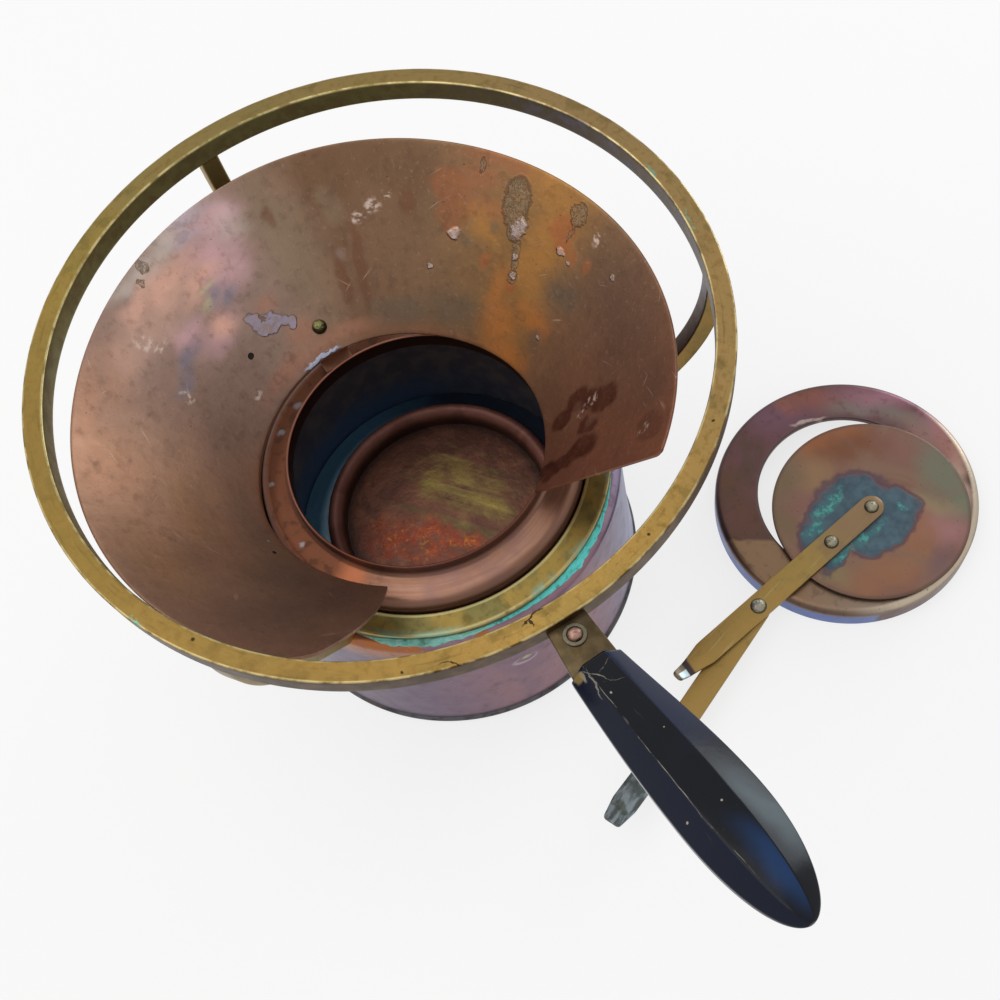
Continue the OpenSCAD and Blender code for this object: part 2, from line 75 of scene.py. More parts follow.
def size(name, description, default):
    """Length property in metres."""
    return FloatProperty(name=name, description=description, default=default, unit="LENGTH", precision=5)


def turn(name, description, default):
    """Angle property, from degrees."""
    return FloatProperty(name=name, description=description, default=math.radians(default), subtype="ANGLE")


def tone(name, description, code):
    """Colour property, from an sRGB code."""
    return FloatVectorProperty(name=name, description=description, default=tint(code), size=3,
                               min=0, max=1, subtype="COLOR")


# Sizes and colours that a user may change

class StandSizes(bpy.types.PropertyGroup):
    ring_width: size("Ring width", "Width of the trivet ring's bar", 6.8 * MM)
    ring_edge: size("Ring edge", "Rounding of the trivet ring's edges", 0.8 * MM)
    leg_width: size("Leg width", "Width of a leg's bar", 7 * MM)
    leg_thickness: size("Leg thickness", "Thickness of a leg's bar", 6.4 * MM)
    leg_edge: size("Leg edge", "Rounding of a leg's edges", 0.9 * MM)
    leg_bend: size("Leg bend", "Radius of a leg's bend at mid thickness", 69 * MM)
    rear_angle: turn("Rear leg", "Angle of the rear leg from the handle", 186)
    left_angle: turn("Left leg", "Angle of the left leg from the handle", 69.6)
    right_angle: turn("Right leg", "Angle of the right leg from the handle", 306.8)
    gallery_width: size("Gallery width", "Width of the gallery ring", 9.1 * MM)
    gallery_edge: size("Gallery edge", "Rounding of the gallery's edges", 0.6 * MM)
    base_top: size("Base top", "Radius of the base under its shoulder", 75 * MM)
    base_shoulder: size("Base shoulder", "Rounding of the base's shoulder", 4 * MM)
    sheet: size("Sheet", "Thickness of the copper sheet", 1 * MM)
    crust_width: size("Crust width", "Greatest width of the verdigris beside the gallery", 3.0 * MM)


class BurnerSizes(bpy.types.PropertyGroup):
    flange_top: size("Flange", "Height of the burner's flange at its edge", 89 * MM)
    collar: size("Collar", "Outer radius of the burner's collar", 49.7 * MM)
    pan_floor: size("Pan floor", "Radius of the fuel pan's floor", 42 * MM)
    pan_bead: size("Pan bead", "Thickness of the fuel pan's bead", 7.6 * MM)
    bead_rise: size("Bead rise", "Height of the fuel pan's bead above its floor", 8.4 * MM)
    bead_shift: size("Bead shift", "How far the bead sits off the axis, towards the left leg", 1.5 * MM)


class ShieldSizes(bpy.types.PropertyGroup):
    axis_x: size("Axis X", "Place of the shield's axis along the handle", 0.960 * MM)
    axis_y: size("Axis Y", "Place of the shield's axis across the handle", -6.833 * MM)
    mouth: size("Mouth", "Radius of the shield's inner edge", 53.2 * MM)
    rim: size("Rim", "Radius of the shield's outer edge", 100 * MM)
    low: size("Low", "Height of the shield's inner edge", 97.2 * MM)
    left_end: turn("Left end", "Angle of the left end from the handle", 38)
    right_end: turn("Right end", "Angle of the right end at the rim", 320)
    lean: turn("Lean", "How far the right end leans from its rim to its mouth", 5.5)
    bulge: turn("Bulge", "How far the right end's edge bows out between its corners", 3.8)
    corner: size("Corner", "Rounding of the right end's outer corner", 11 * MM)
    left_corner: size("Left corner", "Rounding of the left end's outer corner", 3 * MM)
    rivet_run: size("Rivet run", "Distance of the rivet from the mouth, up the slope", 12 * MM)
    waviness: size("Waviness", "How far the hand-formed sheet strays from a true cone", 0.22 * MM)


class HandleSizes(bpy.types.PropertyGroup):
    start: size("Grip start", "Distance of the grip's face from the stand's axis", 130.8 * MM)
    height: size("Grip height", "Height of the grip's middle at its face", 159.2 * MM)
    length: size("Grip length", "Length of the grip", 95.5 * MM)
    plate: size("Plate", "Thickness of the bracket's plate", 2.6 * MM)
    neck: size("Neck", "Width of the grip at its face", 17 * MM)
    width: size("Grip width", "Greatest width of the grip's even part", 22.4 * MM)
    swell: size("Swell", "How far the left side of the grip swells beyond the right", 2 * MM)
    rise: turn("Rise", "Angle that the grip rises", 19)
    turn: turn("Turn", "Angle that the grip turns off the radius", 2.3)
    corner: size("Corner", "Rounding of the grip's ridges", 0.5 * MM)


class RegulatorSizes(bpy.types.PropertyGroup):
    heading: turn("Heading", "Direction from the pivot to the centre of the cap", 109.8)
    arm_turn: turn("Arm turn", "Angle of the arm off that direction", 3.2)
    shutter_turn: turn("Shutter turn", "Angle that the shutter lies open", 11)
    reach: size("Reach", "Distance from the pivot to the centre of the cap", 66.7 * MM)
    cap: size("Cap", "Outer radius of the cap", 56.2 * MM)
    cap_hole: size("Cap hole", "Radius of the hole in the cap", 37.7 * MM)
    cap_edge: size("Cap edge", "Rounding of the cap's outer edge", 3.4 * MM)
    disc: size("Disc", "Radius of the shutter disc", 41.7 * MM)
    strap: size("Strap", "Width of the arm and the lever", 10.6 * MM)
    arm_reach: size("Arm reach", "Length of the arm beyond the pivot", 109 * MM)
    arm_end: size("Arm end", "Width of the arm at its end", 7.3 * MM)
    lever_reach: size("Lever reach", "Length of the lever beyond the pivot, up to its finger tab", 39 * MM)
    finger: size("Finger tab", "Length of the curled finger tab", 8.4 * MM)
    finger_tip: size("Finger tip", "Width of the finger tab at its tip", 4.4 * MM)
    finger_rise: turn("Finger rise", "Slope of the finger tab at its tip", 42)


class Tones(bpy.types.PropertyGroup):
    gold: tone("Gold brass", "Brass where hands keep it bright", "9e7d40")
    olive: tone("Olive brass", "Brass under a thin tarnish", "7c6d3a")
    umber: tone("Umber", "Brown tarnish on brass", "5c4a2a")
    # On the trivet ring this tone lies on the edges as wear and as a painted highlight.
    worn: tone("Worn brass", "Edges that are rubbed bright", "d2c38e")
    soot: tone("Soot", "Black-blue film inside the burner", "42404a")
    verdigris: tone("Verdigris", "Bright blue-green crust", "5fd6d0")
    tin: tone("Tinned edge", "Grey rolled edge of the base", "585559")
    black: tone("Grip black", "Blue-black moulded grip", "0c0e15")


class StageSettings(bpy.types.PropertyGroup):
    floor_tone: tone("Floor", "Colour of the floor", "f4f4f4")
    key_power: FloatProperty(name="Key power", description="Power of the main soft light in watts",
                             default=9, unit="POWER")
    fill_power: FloatProperty(name="Fill power", description="Power of the side light in watts",
                              default=3, unit="POWER")
    sky: FloatProperty(name="Sky", description="Strength of the light from all round", default=0.55)
    lens: FloatProperty(name="Lens", description="Focal length in millimetres on a 36 mm sensor",
                        default=43.2)


class Stand(bpy.types.PropertyGroup):
    stand: PointerProperty(name="Stand", description="Sizes of the stand", type=StandSizes)
    burner: PointerProperty(name="Burner", description="Sizes of the burner", type=BurnerSizes)
    shield: PointerProperty(name="Shield", description="Sizes of the wind shield", type=ShieldSizes)
    handle: PointerProperty(name="Handle", description="Sizes of the handle", type=HandleSizes)
    regulator: PointerProperty(name="Regulator", description="Sizes of the regulator", type=RegulatorSizes)
    tones: PointerProperty(name="Tones", description="Colours of the finishes", type=Tones)
    stage: PointerProperty(name="Stage", description="Floor, light and camera", type=StageSettings)


# Shapes: arrays of points on a grid

def eased(corners, cut, steps=5):
    """Closed outline whose corners become curves: each runs from a point `cut` before the corner to one
    `cut` after it, as a quadratic curve that is pulled towards the corner."""
    back = np.roll(corners, 1, axis=-2) - corners
    ahead = np.roll(corners, -1, axis=-2) - corners
    back_run = np.linalg.norm(back, axis=-1, keepdims=True)
    ahead_run = np.linalg.norm(ahead, axis=-1, keepdims=True)
    reach = np.minimum(cut, 0.48 * np.minimum(back_run, ahead_run))
    start = corners + back / back_run * reach
    stop = corners + ahead / ahead_run * reach
    t = np.linspace(0, 1, steps + 1)[:, None]
    bent = ((1 - t) ** 2 * start[..., None, :] + 2 * t * (1 - t) * corners[..., None, :]
            + t ** 2 * stop[..., None, :])
    return bent.reshape(*corners.shape[:-2], -1, 2)


def band(inner, outer, low, high, cut, steps=5):
    """Outline of a bar: a rectangle with eased corners."""
    return eased(np.array([[inner, low], [outer, low], [outer, high], [inner, high]]), cut, steps)


def arc(x, z, radius, angles, rise=None):
    """Points round a middle, of a circle or, with a rise, of an ellipse."""
    return np.stack([x + radius * np.cos(angles), z + (rise or radius) * np.sin(angles)], 1)


def level(start, stop, height, count):
    """Points evenly along a level line."""
    return np.stack([np.linspace(start, stop, count), np.full(count, height)], 1)


def ripple(first, second, seed, waves=9, pace=3.0):
    """Smooth unevenness from -1 to 1: the mean of sine waves of two coordinates, with whole numbers of
    waves along the first, so that it closes on a full turn."""
    rng = np.random.default_rng(seed)
    along = rng.integers(1, 2 + int(3 * pace), waves)
    across = rng.normal(0, pace, waves)
    phase = rng.uniform(0, 2 * np.pi, waves)
    return np.sin(first[..., None] * along + second[..., None] * across + phase).mean(-1) * 1.8


def cloud(first, second, cell, seed, octaves=4):
    """Cloudy field from 0 to 1 of two coordinates: random numbers on a lattice, blended smoothly between
    its corners. Each octave has half the cell and a little over half the weight of the one before."""
    wide, tall = 97, 89
    table = np.random.default_rng(seed).random((wide, tall))
    total, weight, whole = 0, 1.0, 0.0
    for octave in range(octaves):
        u, v = first / cell * 2 ** octave + 31.7 * octave, second / cell * 2 ** octave + 17.3 * octave
        i, j = np.floor(u).astype(int), np.floor(v).astype(int)
        du, dv = u - i, v - j
        du, dv = du * du * (3 - 2 * du), dv * dv * (3 - 2 * dv)
        near = table[i % wide, j % tall] * (1 - du) + table[(i + 1) % wide, j % tall] * du
        far = table[i % wide, (j + 1) % tall] * (1 - du) + table[(i + 1) % wide, (j + 1) % tall] * du
        total, whole = total + weight * (near * (1 - dv) + far * dv), whole + weight
        weight *= 0.55
    return total / whole


def spread(mark):
    """A mark's middle, half sizes and turn, which is 0 where it isn't given."""
    return (*mark, 0)[:5]


def patch(first, second, mark, soft):
    """Ellipse of two coordinates, 1 inside and 0 outside, with a mark's middle, half sizes and turn."""
    x, y, half_x, half_y, lean = spread(mark)
    c, s = math.cos(math.radians(lean)), math.sin(math.radians(lean))
    dx, dy = first - x, second - y
    away = np.hypot((c * dx + s * dy) / half_x, (c * dy - s * dx) / half_y)
    share = np.clip((1 + soft - away) / (2 * soft), 0, 1)
    return share * share * (3 - 2 * share)


def turned(outline, steps=256):
    """Outline of (radius, height) points carried round the upright axis."""
    a = np.linspace(0, 2 * np.pi, steps, endpoint=False)[:, None]
    r, h = outline[:, 0], outline[:, 1]
    return np.stack([r * np.cos(a), r * np.sin(a), h + 0 * a], -1)


def filled(outline, spacing):
    """Outline with extra points, so that no two neighbours are further apart than the spacing."""
    runs = np.linalg.norm(np.roll(outline, -1, axis=0) - outline, axis=1)
    parts = np.maximum(1, np.ceil(runs / spacing).astype(int))
    first = np.repeat(np.arange(len(outline)), parts)
    share = (np.arange(parts.sum()) - np.repeat(np.cumsum(parts) - parts, parts)) / parts[first]
    return outline[first] + (np.roll(outline, -1, axis=0)[first] - outline[first]) * share[:, None]


def ended(grid):
    """Grid with one more row at each end, drawn in to the middle of the last section."""
    return np.concatenate([grid[:1] * 0 + grid[:1].mean(1, keepdims=True), grid,
                           grid[-1:] * 0 + grid[-1:].mean(1, keepdims=True)])


def strap(path, half, thickness, edge, steps=3):
    """Flat strap: a rounded rectangle carried along a path of (x, z) points on its lower face. Its half
    width is given at each point, and its thickness is laid off square to the path."""
    lean = np.gradient(path, axis=0)
    lean /= np.linalg.norm(lean, axis=1, keepdims=True)
    up = np.stack([-lean[:, 1], lean[:, 0]], 1) * np.sign(lean[:1, :1])
    a = np.linspace(0, np.pi / 2, steps + 1) + np.arange(4)[:, None] * np.pi / 2
    side, top = np.repeat([1, -1, -1, 1], steps + 1), np.repeat([1, 1, -1, -1], steps + 1)
    e = np.minimum(edge, half)[:, None]
    across = side * (half[:, None] - e) + e * np.cos(a.ravel())
    rise = thickness / 2 + top * (thickness / 2 - edge) + edge * np.sin(a.ravel())
    return ended(np.stack([path[:, :1] + up[:, :1] * rise, across, path[:, 1:] + up[:, 1:] * rise], -1))


def dome(radius, height, foot):
    """Grid of a rivet head: a shallow ball from its top to its edge, with a straight foot below."""
    ball = (radius ** 2 + height ** 2) / (2 * height)
    a = np.linspace(0, math.asin(min(1, radius / ball)), 10)
    cap = np.stack([ball * np.sin(a), ball * np.cos(a) - ball + height], 1)
    outline = np.concatenate([cap, [[radius, -foot], [0, -foot]]])
    grid = turned(outline, steps=36)
    about, rise = np.arctan2(grid[..., 1], grid[..., 0]), grid[..., 2].copy()
    grid[..., 2] += ripple(about, rise / height, seed=5) * height * 0.05 * (rise > 0.2 * height)
    return grid


def placed(grid, *moves):
    """Grid carried through the moves, the last one first."""
    whole = Matrix.Identity(4)
    for move in moves:
        whole = whole @ move
    return grid @ np.array(whole.to_3x3()).T + np.array(whole.translation)


def shift(x, y, z):
    """Move along the axes."""
    return Matrix.Translation((x, y, z))


def spin(angle, axis):
    """Move round an axis."""
    return Matrix.Rotation(angle, 4, axis)


def piece(name, grid, finish, body, nodes, round_rows=True, round_columns=True, sharp=50, tints=None):
    """Object at the origin whose mesh joins neighbouring points of the grid into faces. Points that fall
    together at a pole, or where the grid closes on itself, are merged, and the faces are turned outwards.
    Tints are colours of the points, kept as an attribute that the finish reads."""
    rows, columns = grid.shape[:2]
    index = np.arange(rows * columns).reshape(rows, columns)
    if round_rows:
        index = np.concatenate([index, index[:1]])
    if round_columns:
        index = np.concatenate([index, index[:, :1]], 1)
    faces = np.stack([index[:-1, :-1], index[1:, :-1], index[1:, 1:], index[:-1, 1:]], -1).reshape(-1, 4)
    mesh = bpy.data.meshes.new(name)
    mesh.from_pydata(grid.reshape(-1, 3), [], faces)
    if tints is not None:
        kept = mesh.attributes.new("tint", "FLOAT_COLOR", "POINT")
        kept.data.foreach_set("color", np.concatenate([tints, np.ones_like(tints[..., :1])], -1).ravel())
    work = bmesh.new()
    work.from_mesh(mesh)
    bmesh.ops.remove_doubles(work, verts=work.verts, dist=2e-6)
    bmesh.ops.recalc_face_normals(work, faces=work.faces)
    work.to_mesh(mesh)
    work.free()
    mesh.polygons.foreach_set("use_smooth", np.ones(len(mesh.polygons), bool))
    mesh.set_sharp_from_angle(angle=math.radians(sharp))
    mesh.materials.append(finish)
    made = bpy.data.objects.new(name, mesh)
    bpy.context.scene.collection.objects.link(made)
    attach(made, body)
    if nodes:
        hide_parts(*nodes)
    return made


def rivet(name, sizes, moves, finish, body, nodes):
    """Rivet head: a dome of a radius, a height and a foot in millimetres, carried to its place."""
    radius, height, foot = (part * MM for part in sizes)
    piece(name, placed(dome(radius, height, foot), *moves), finish, body, nodes, round_columns=False)


def dress(node, finish):
    """Gives a CAD node that stays in sight another finish."""
    for slot in frame["nodes"][node].material_slots:
        slot.material = finish


def at_pivot(s):
    """Moves of the regulator's frame: origin at the pivot, X towards the cap."""
    x, y, _ = JOINT["shutter_swing"]["pos_m"]
    return (shift(x, y, 0), spin(s.heading, "Z"))


def shield_slope(s):
    """Angle of the shield's cone above the level, and its length up the slope."""
    rise, out = BOX["wind_shield"][1].z - s.low, s.rim - s.mouth
    return math.atan2(rise, out), math.hypot(rise, out)


# Finishes: node trees written as expressions

class Value:
    """Socket of a tree. Arithmetic on values adds Math nodes; | takes the larger and & the smaller."""

    def __init__(self, finish, socket):
        self.finish = finish
        self.socket = socket

    def math(self, operation, first, second):
        """Result of a Math node."""
        return self.finish.node("Math", {"operation": operation}, {0: first, 1: second})

    def __add__(self, other):
        return self.math("ADD", self, other)

    def __sub__(self, other):
        return self.math("SUBTRACT", self, other)

    def __rsub__(self, other):
        return self.math("SUBTRACT", other, self)

    def __mul__(self, other):
        return self.math("MULTIPLY", self, other)

    def __truediv__(self, other):
        return self.math("DIVIDE", self, other)

    def __or__(self, other):
        return self.math("MAXIMUM", self, other)

    def __and__(self, other):
        return self.math("MINIMUM", self, other)

    __radd__ = __add__

    def between(self, low, high):
        """Smooth step from 0 at low to 1 at high; the other way round where low is the larger."""
        if low > high:
            return 1 - self.between(high, low)
        return self.finish.node("MapRange", {"interpolation_type": "SMOOTHSTEP"},
                                {"Value": self, "From Min": low, "From Max": high})


class Finish:
    """Node tree of a material or the world, with the colour that its layers have built up."""

    def __init__(self, owner):
        owner.use_nodes = True
        self.owner = owner
        self.tree = owner.node_tree
        self.tree.nodes.clear()
        self.colour = None

    def node(self, kind, settings=None, sockets=None, out=0):
        """Adds a node: settings first, then values or links of its sockets. A colour may be a written
        code. Returns one of its outputs, where it has any."""
        made = self.tree.nodes.new("ShaderNode" + kind)
        for key, value in (settings or {}).items():
            setattr(made, key, value)
        for key, value in (sockets or {}).items():
            socket = made.inputs[key]
            if isinstance(value, Value):
                self.tree.links.new(value.socket, socket)
            elif socket.type == "RGBA":
                socket.default_value = (*(tint(value) if isinstance(value, str) else value), 1)
            else:
                socket.default_value = value
        return Value(self, made.outputs[out]) if made.outputs else None

    def here(self):
        """Place of a point in its object's frame."""
        return self.node("TexCoord", out="Object")

    def facing(self):
        """Direction of the surface in its object's frame."""
        return self.node("TexCoord", out="Normal")

    def axes(self, vector):
        """The three parts of a vector."""
        split = self.node("SeparateXYZ", sockets={0: vector})
        return [Value(self, socket) for socket in split.socket.node.outputs]

    def join(self, x, y):
        """Plane of two values."""
        return self.node("CombineXYZ", sockets={0: x, 1: y})

    def length(self, x, y):
        """Distance from the middle of a plane."""
        return self.node("VectorMath", {"operation": "LENGTH"}, {0: self.join(x, y)}, out="Value")

    def angle(self, y, x):
        """Angle round the middle of a plane, from X."""
        return self.node("Math", {"operation": "ARCTAN2"}, {0: y, 1: x})

    def noise(self, scale, detail, vector=None, twist=0.0):
        """Cloudy field about 0.5. A twist curls it."""
        return self.node("TexNoise", None, {"Vector": vector or self.here(), "Scale": scale, "Detail": detail,
                                            "Roughness": 0.55, "Distortion": twist})

    def stretched(self, scale, along, detail, vector=None, turned=0.0):
        """Noise drawn out along X of a turned frame by a factor: scratches and streaks."""
        laid = self.node("Mapping", {"vector_type": "TEXTURE"},
                         {"Vector": vector or self.here(), "Rotation": (0, 0, turned),
                          "Scale": (along, 1, 1)})
        return self.noise(scale, detail, laid)

    def warped(self, plane, scale, reach):
        """Plane whose points stray by a noise, so that shapes on it get ragged edges."""
        stray = self.node("TexNoise", None, {"Vector": plane, "Scale": scale, "Detail": 3.0}, out=1)
        middle = self.node("VectorMath", {"operation": "SUBTRACT"}, {0: stray, 1: (0.5, 0.5, 0.5)})
        short = self.node("VectorMath", {"operation": "SCALE"}, {0: middle, "Scale": reach})
        return self.node("VectorMath", {"operation": "ADD"}, {0: plane, 1: short})

    def away(self, plane, mark):
        """Distance from the middle of an ellipse as a share of its half sizes, so 1 on its edge. The mark
        is (x, y, half x, half y, turn) in millimetres and degrees."""
        x, y, half_x, half_y, lean = spread(mark)
        laid = self.node("Mapping", {"vector_type": "TEXTURE"},
                         {"Vector": plane, "Location": (x * MM, y * MM, 0),
                          "Rotation": (0, 0, math.radians(lean)), "Scale": (half_x * MM, half_y * MM, 1)})
        return self.node("VectorMath", {"operation": "LENGTH"}, {0: laid}, out="Value")

    def spots(self, plane, marks, soft=0.5):
        """Union of several ellipses, 1 inside and 0 outside, with soft edges."""
        return reduce(or_, (self.away(plane, mark).between(1 + soft, 1 - soft) for mark in marks))

    def nearest(self, plane, marks):
        """Distance to the nearest of several ellipses."""
        return reduce(and_, (self.away(plane, mark) for mark in marks))

    def mix(self, first, second, share):
        """Colour between two, by a share from 0 to 1."""
        return self.node("Mix", {"data_type": "RGBA"}, {0: share, 6: first, 7: second}, out=2)

    def over(self, colour, share):
        """Lays a colour over what is there, by a share from 0 to 1."""
        self.colour = self.mix(self.colour, colour, share)

    def flecks(self, colour, scale, detail, low, high, share):
        """Lays a colour over, by a share, where a noise rises from low to high."""
        self.over(colour, self.noise(scale, detail).between(low, high) * share)

    def surface(self, rough, metal, height, distance, extra=None):
        """Ends the tree with its colour and a bump of a height over a distance. Returns the material."""
        bump = self.node("Bump", None, {"Height": height, "Distance": distance, "Strength": 1.0})
        shader = self.node("BsdfPrincipled", None, {"Base Color": self.colour, "Roughness": rough,
                                                    "Metallic": metal, "Normal": bump, **(extra or {})})
        self.node("OutputMaterial", None, {"Surface": shader})
        return self.owner


def new_finish(name):
    """Finish of a new material."""
    return Finish(bpy.data.materials.new(name))


def aged_brass(f, tones, shine):
    """Lays the colour of old brass: gold and olive clouds, brown tarnish in blotches, a fine pale grain
    and dark specks. Returns its roughness, its blotches and its specks."""
    cloud = f.noise(42, 4)
    blotch = f.noise(190, 5)
    speck = f.noise(1400, 2)
    f.colour = f.mix(tones.gold, tones.olive, cloud.between(0.42, 0.66) * (1 - shine) + 0.1)
    f.over(tones.umber, (blotch * 0.6 + cloud * 0.4).between(0.52, 0.7) * 0.5)
    f.flecks("c2ab6c", 2600, 2, 0.54, 0.74, 0.2)
    f.over("2e2414", speck.between(0.66, 0.74) * blotch.between(0.42, 0.6) * 0.75)
    return 0.32 + blotch * 0.2, blotch, speck


def ring_brass(tones, sizes):
    """Trivet ring: gold by the handle, greenish at one side and brown at the other; a grey-brown inner
    wall painted lighter as if lit, with a painted lilac-blue reflection at one side; a dark outer wall;
    edges painted bright in places, as wear and as a painted highlight; and a few green grains."""
    f = new_finish("ring_brass")
    x, y, z = f.axes(f.here())
    radius = f.length(x, y)
    outer, _, top = BOX["trivet_ring"][1]
    inner = outer - sizes.ring_width
    rough, blotch, speck = aged_brass(f, tones, shine=0.55)
    wander = f.noise(30, 2) * 0.04
    green = (wander - x * 0.62 - y * 0.78).between(0.035, 0.1)
    f.over("6e6228", green * 0.62)
    back = (wander - x * 0.83 + y * 0.56).between(0.04, 0.11)
    f.over("76663f", back * 0.7)
    side = (wander + x * 0.1 + y).between(0.06, 0.12)
    f.over("8e744e", side * 0.55)
    f.flecks("74521e", 420, 4, 0.5, 0.68, 0.4)
    f.flecks("564a20", 150, 4, 0.54, 0.68, 0.4)
    front = (wander + x * 0.34 - y * 0.94).between(0.05, 0.11)
    f.over("6a5226", front * 0.6)
    # The inner wall is painted lighter, as if lit, and at one side it gets a painted lilac-blue reflection.
    wall = radius.between(inner + 0.0005, inner + 0.0001)
    grey = f.mix("8e8a58", "7a6e48", blotch.between(0.36, 0.66))
    grey = f.mix(grey, f.mix("4a4048", "666a88", blotch.between(0.44, 0.7)), side * 0.8)
    f.over(grey, wall * 0.85)
    skin = radius.between(outer - 0.0005, outer - 0.0001)
    f.over(f.mix("4a3018", "38240f", blotch.between(0.4, 0.6)), skin * 0.9)
    # Pale edges: partly wear, partly a painted highlight along the rounded edges.
    edge = radius.between(outer - 0.0009, outer - 0.0003) | radius.between(inner + 0.0009, inner + 0.0003)
    edge = edge * z.between(top - 0.0007, top - 0.0002) * f.noise(160, 4).between(0.36, 0.6)
    f.over(tones.worn, edge * 0.65)
    plane = f.warped(f.join(x, y), 240, 0.006)
    hair = f.spots(plane, [(108.9, -33.5, 4.2, 0.28, 52), (110.4, -32.0, 0.3, 1.8, 20),
                           (109.4, -7.6, 0.34, 3.8, 14), (110.6, -8.6, 1.6, 0.3, -30)], 0.25)
    dots = f.spots(f.join(x, y), [(106.5, 34, 0.5, 0.5), (103, -47, 0.5, 0.4), (86, 71, 0.4, 0.6),
                                  (60, -93, 0.6, 0.6)], 0.4)
    above = z.between(top - 0.0006, top - 0.0002)
    f.over("1a140c", (hair | dots) * above * 0.9)
    grains = f.spots(plane, [(45, -105, 2.6, 0.8, 20), (-4, 109, 3, 0.7), (20, 108, 4, 0.5, -12)], 0.5)
    f.over("5f9a86", grains * above * f.noise(700, 3).between(0.42, 0.56) * 0.8)
    around = f.angle(y, x)
    lines = f.stretched(900, 12, 2, f.join(radius, around * 0.1), math.radians(90))
    f.over("3c3218", lines.between(0.58, 0.72) * above * 0.3)
    return f.surface(rough - edge * 0.08, 0.85, blotch * 0.5 + speck * 0.2 + lines * 0.4, 0.00012)


def plain_brass(name, tones, shine=0.6, grey=0.0, dirt=0.0):
    """Brass of small fittings, with grey film and olive-brown dirt by their shares."""
    f = new_finish(name)
    rough, blotch, speck = aged_brass(f, tones, shine)
    f.flecks("8e8a7c", 260, 3, 0.3, 0.7, grey)
    f.over(f.mix("443a2c", "28231d", blotch.between(0.38, 0.6)), dirt)
    return f.surface(rough, 0.85, blotch + speck * 0.3, 0.0001)


def leg_brass(tones):
    """Legs: brass sides, and a dull face where it looks to the flame, purple-brown on the left leg, with
    a painted lilac highlight by the ring."""
    f = new_finish("leg_brass")
    rough, blotch, speck = aged_brass(f, tones, shine=0.35)
    x, y, z = f.axes(f.here())
    nx, ny, _ = f.axes(f.facing())
    radius = f.length(x, y)
    inward = (0 - (nx * x + ny * y) / radius).between(0.25, 0.75)
    left = y.between(0.02, 0.05)
    dull = f.mix("6a5f38", "4a3c40", left)
    # Painted lilac highlight on the left leg's inner face, just under the ring.
    dull = f.mix(dull, "767a9c", left * z.between(0.146, 0.154) * blotch.between(0.36, 0.56))
    f.over(dull, inward * 0.85)
    f.over("9a927a", y.between(-0.06, -0.08) * 0.6)
    return f.surface(rough, 0.8, blotch + speck * 0.3, 0.00015)


def gallery_brass(tones):
    """Gallery: greenish yellow brass with a pale inner edge, green stains at its outer foot, and copper
    brown where the shield hides it."""
    f = new_finish("gallery_brass")
    x, y, z = f.axes(f.here())
    radius = f.length(x, y)
    high = BOX["gallery_ring"][1]
    rough, blotch, speck = aged_brass(f, tones, shine=0.55)
    f.over("776832", 0.55)
    f.flecks("5a5c3a", 70, 3, 0.46, 0.62, 0.6)
    f.flecks("4a4026", 330, 4, 0.5, 0.7, 0.4)
    rim = radius.between(high.x - 0.0016, high.x - 0.0007) * z.between(high.z - 0.0012, high.z - 0.0003)
    rim = rim * f.noise(120, 3).between(0.3, 0.5)
    f.over("b4a676", rim * 0.6)
    bead = radius.between(high.x - 0.0074, high.x - 0.0079) * radius.between(high.x - 0.0089, high.x - 0.0084)
    f.over("b0a878", bead * z.between(high.z - 0.0008, high.z - 0.0003) * 0.7)
    inner = radius.between(high.x - 0.0088, high.x - 0.0091)
    f.over("3a3424", inner * 0.6)
    stain = f.noise(90, 4).between(0.46, 0.62) * radius.between(high.x - 0.004, high.x - 0.0008)
    f.over("6f9a8a", stain * 0.55)
    low = z.between(high.z - 0.0012, high.z - 0.003) * f.noise(140, 4).between(0.35, 0.6)
    f.over("4f8a7c", low * radius.between(high.x - 0.001, high.x - 0.0002) * 0.8)
    plane = f.warped(f.join(x, y), 300, 0.002)
    mark = f.spots(plane, [(65.2, -18.6, 2.2, 1.8), (67.8, -12, 0.5, 0.5)], 0.5)
    f.over("5a4a22", mark * 0.6)
    f.over("5a3826", (x + blotch * 0.01).between(0.012, -0.008))
    return f.surface(rough, 0.85, blotch + speck * 0.3, 0.0001)


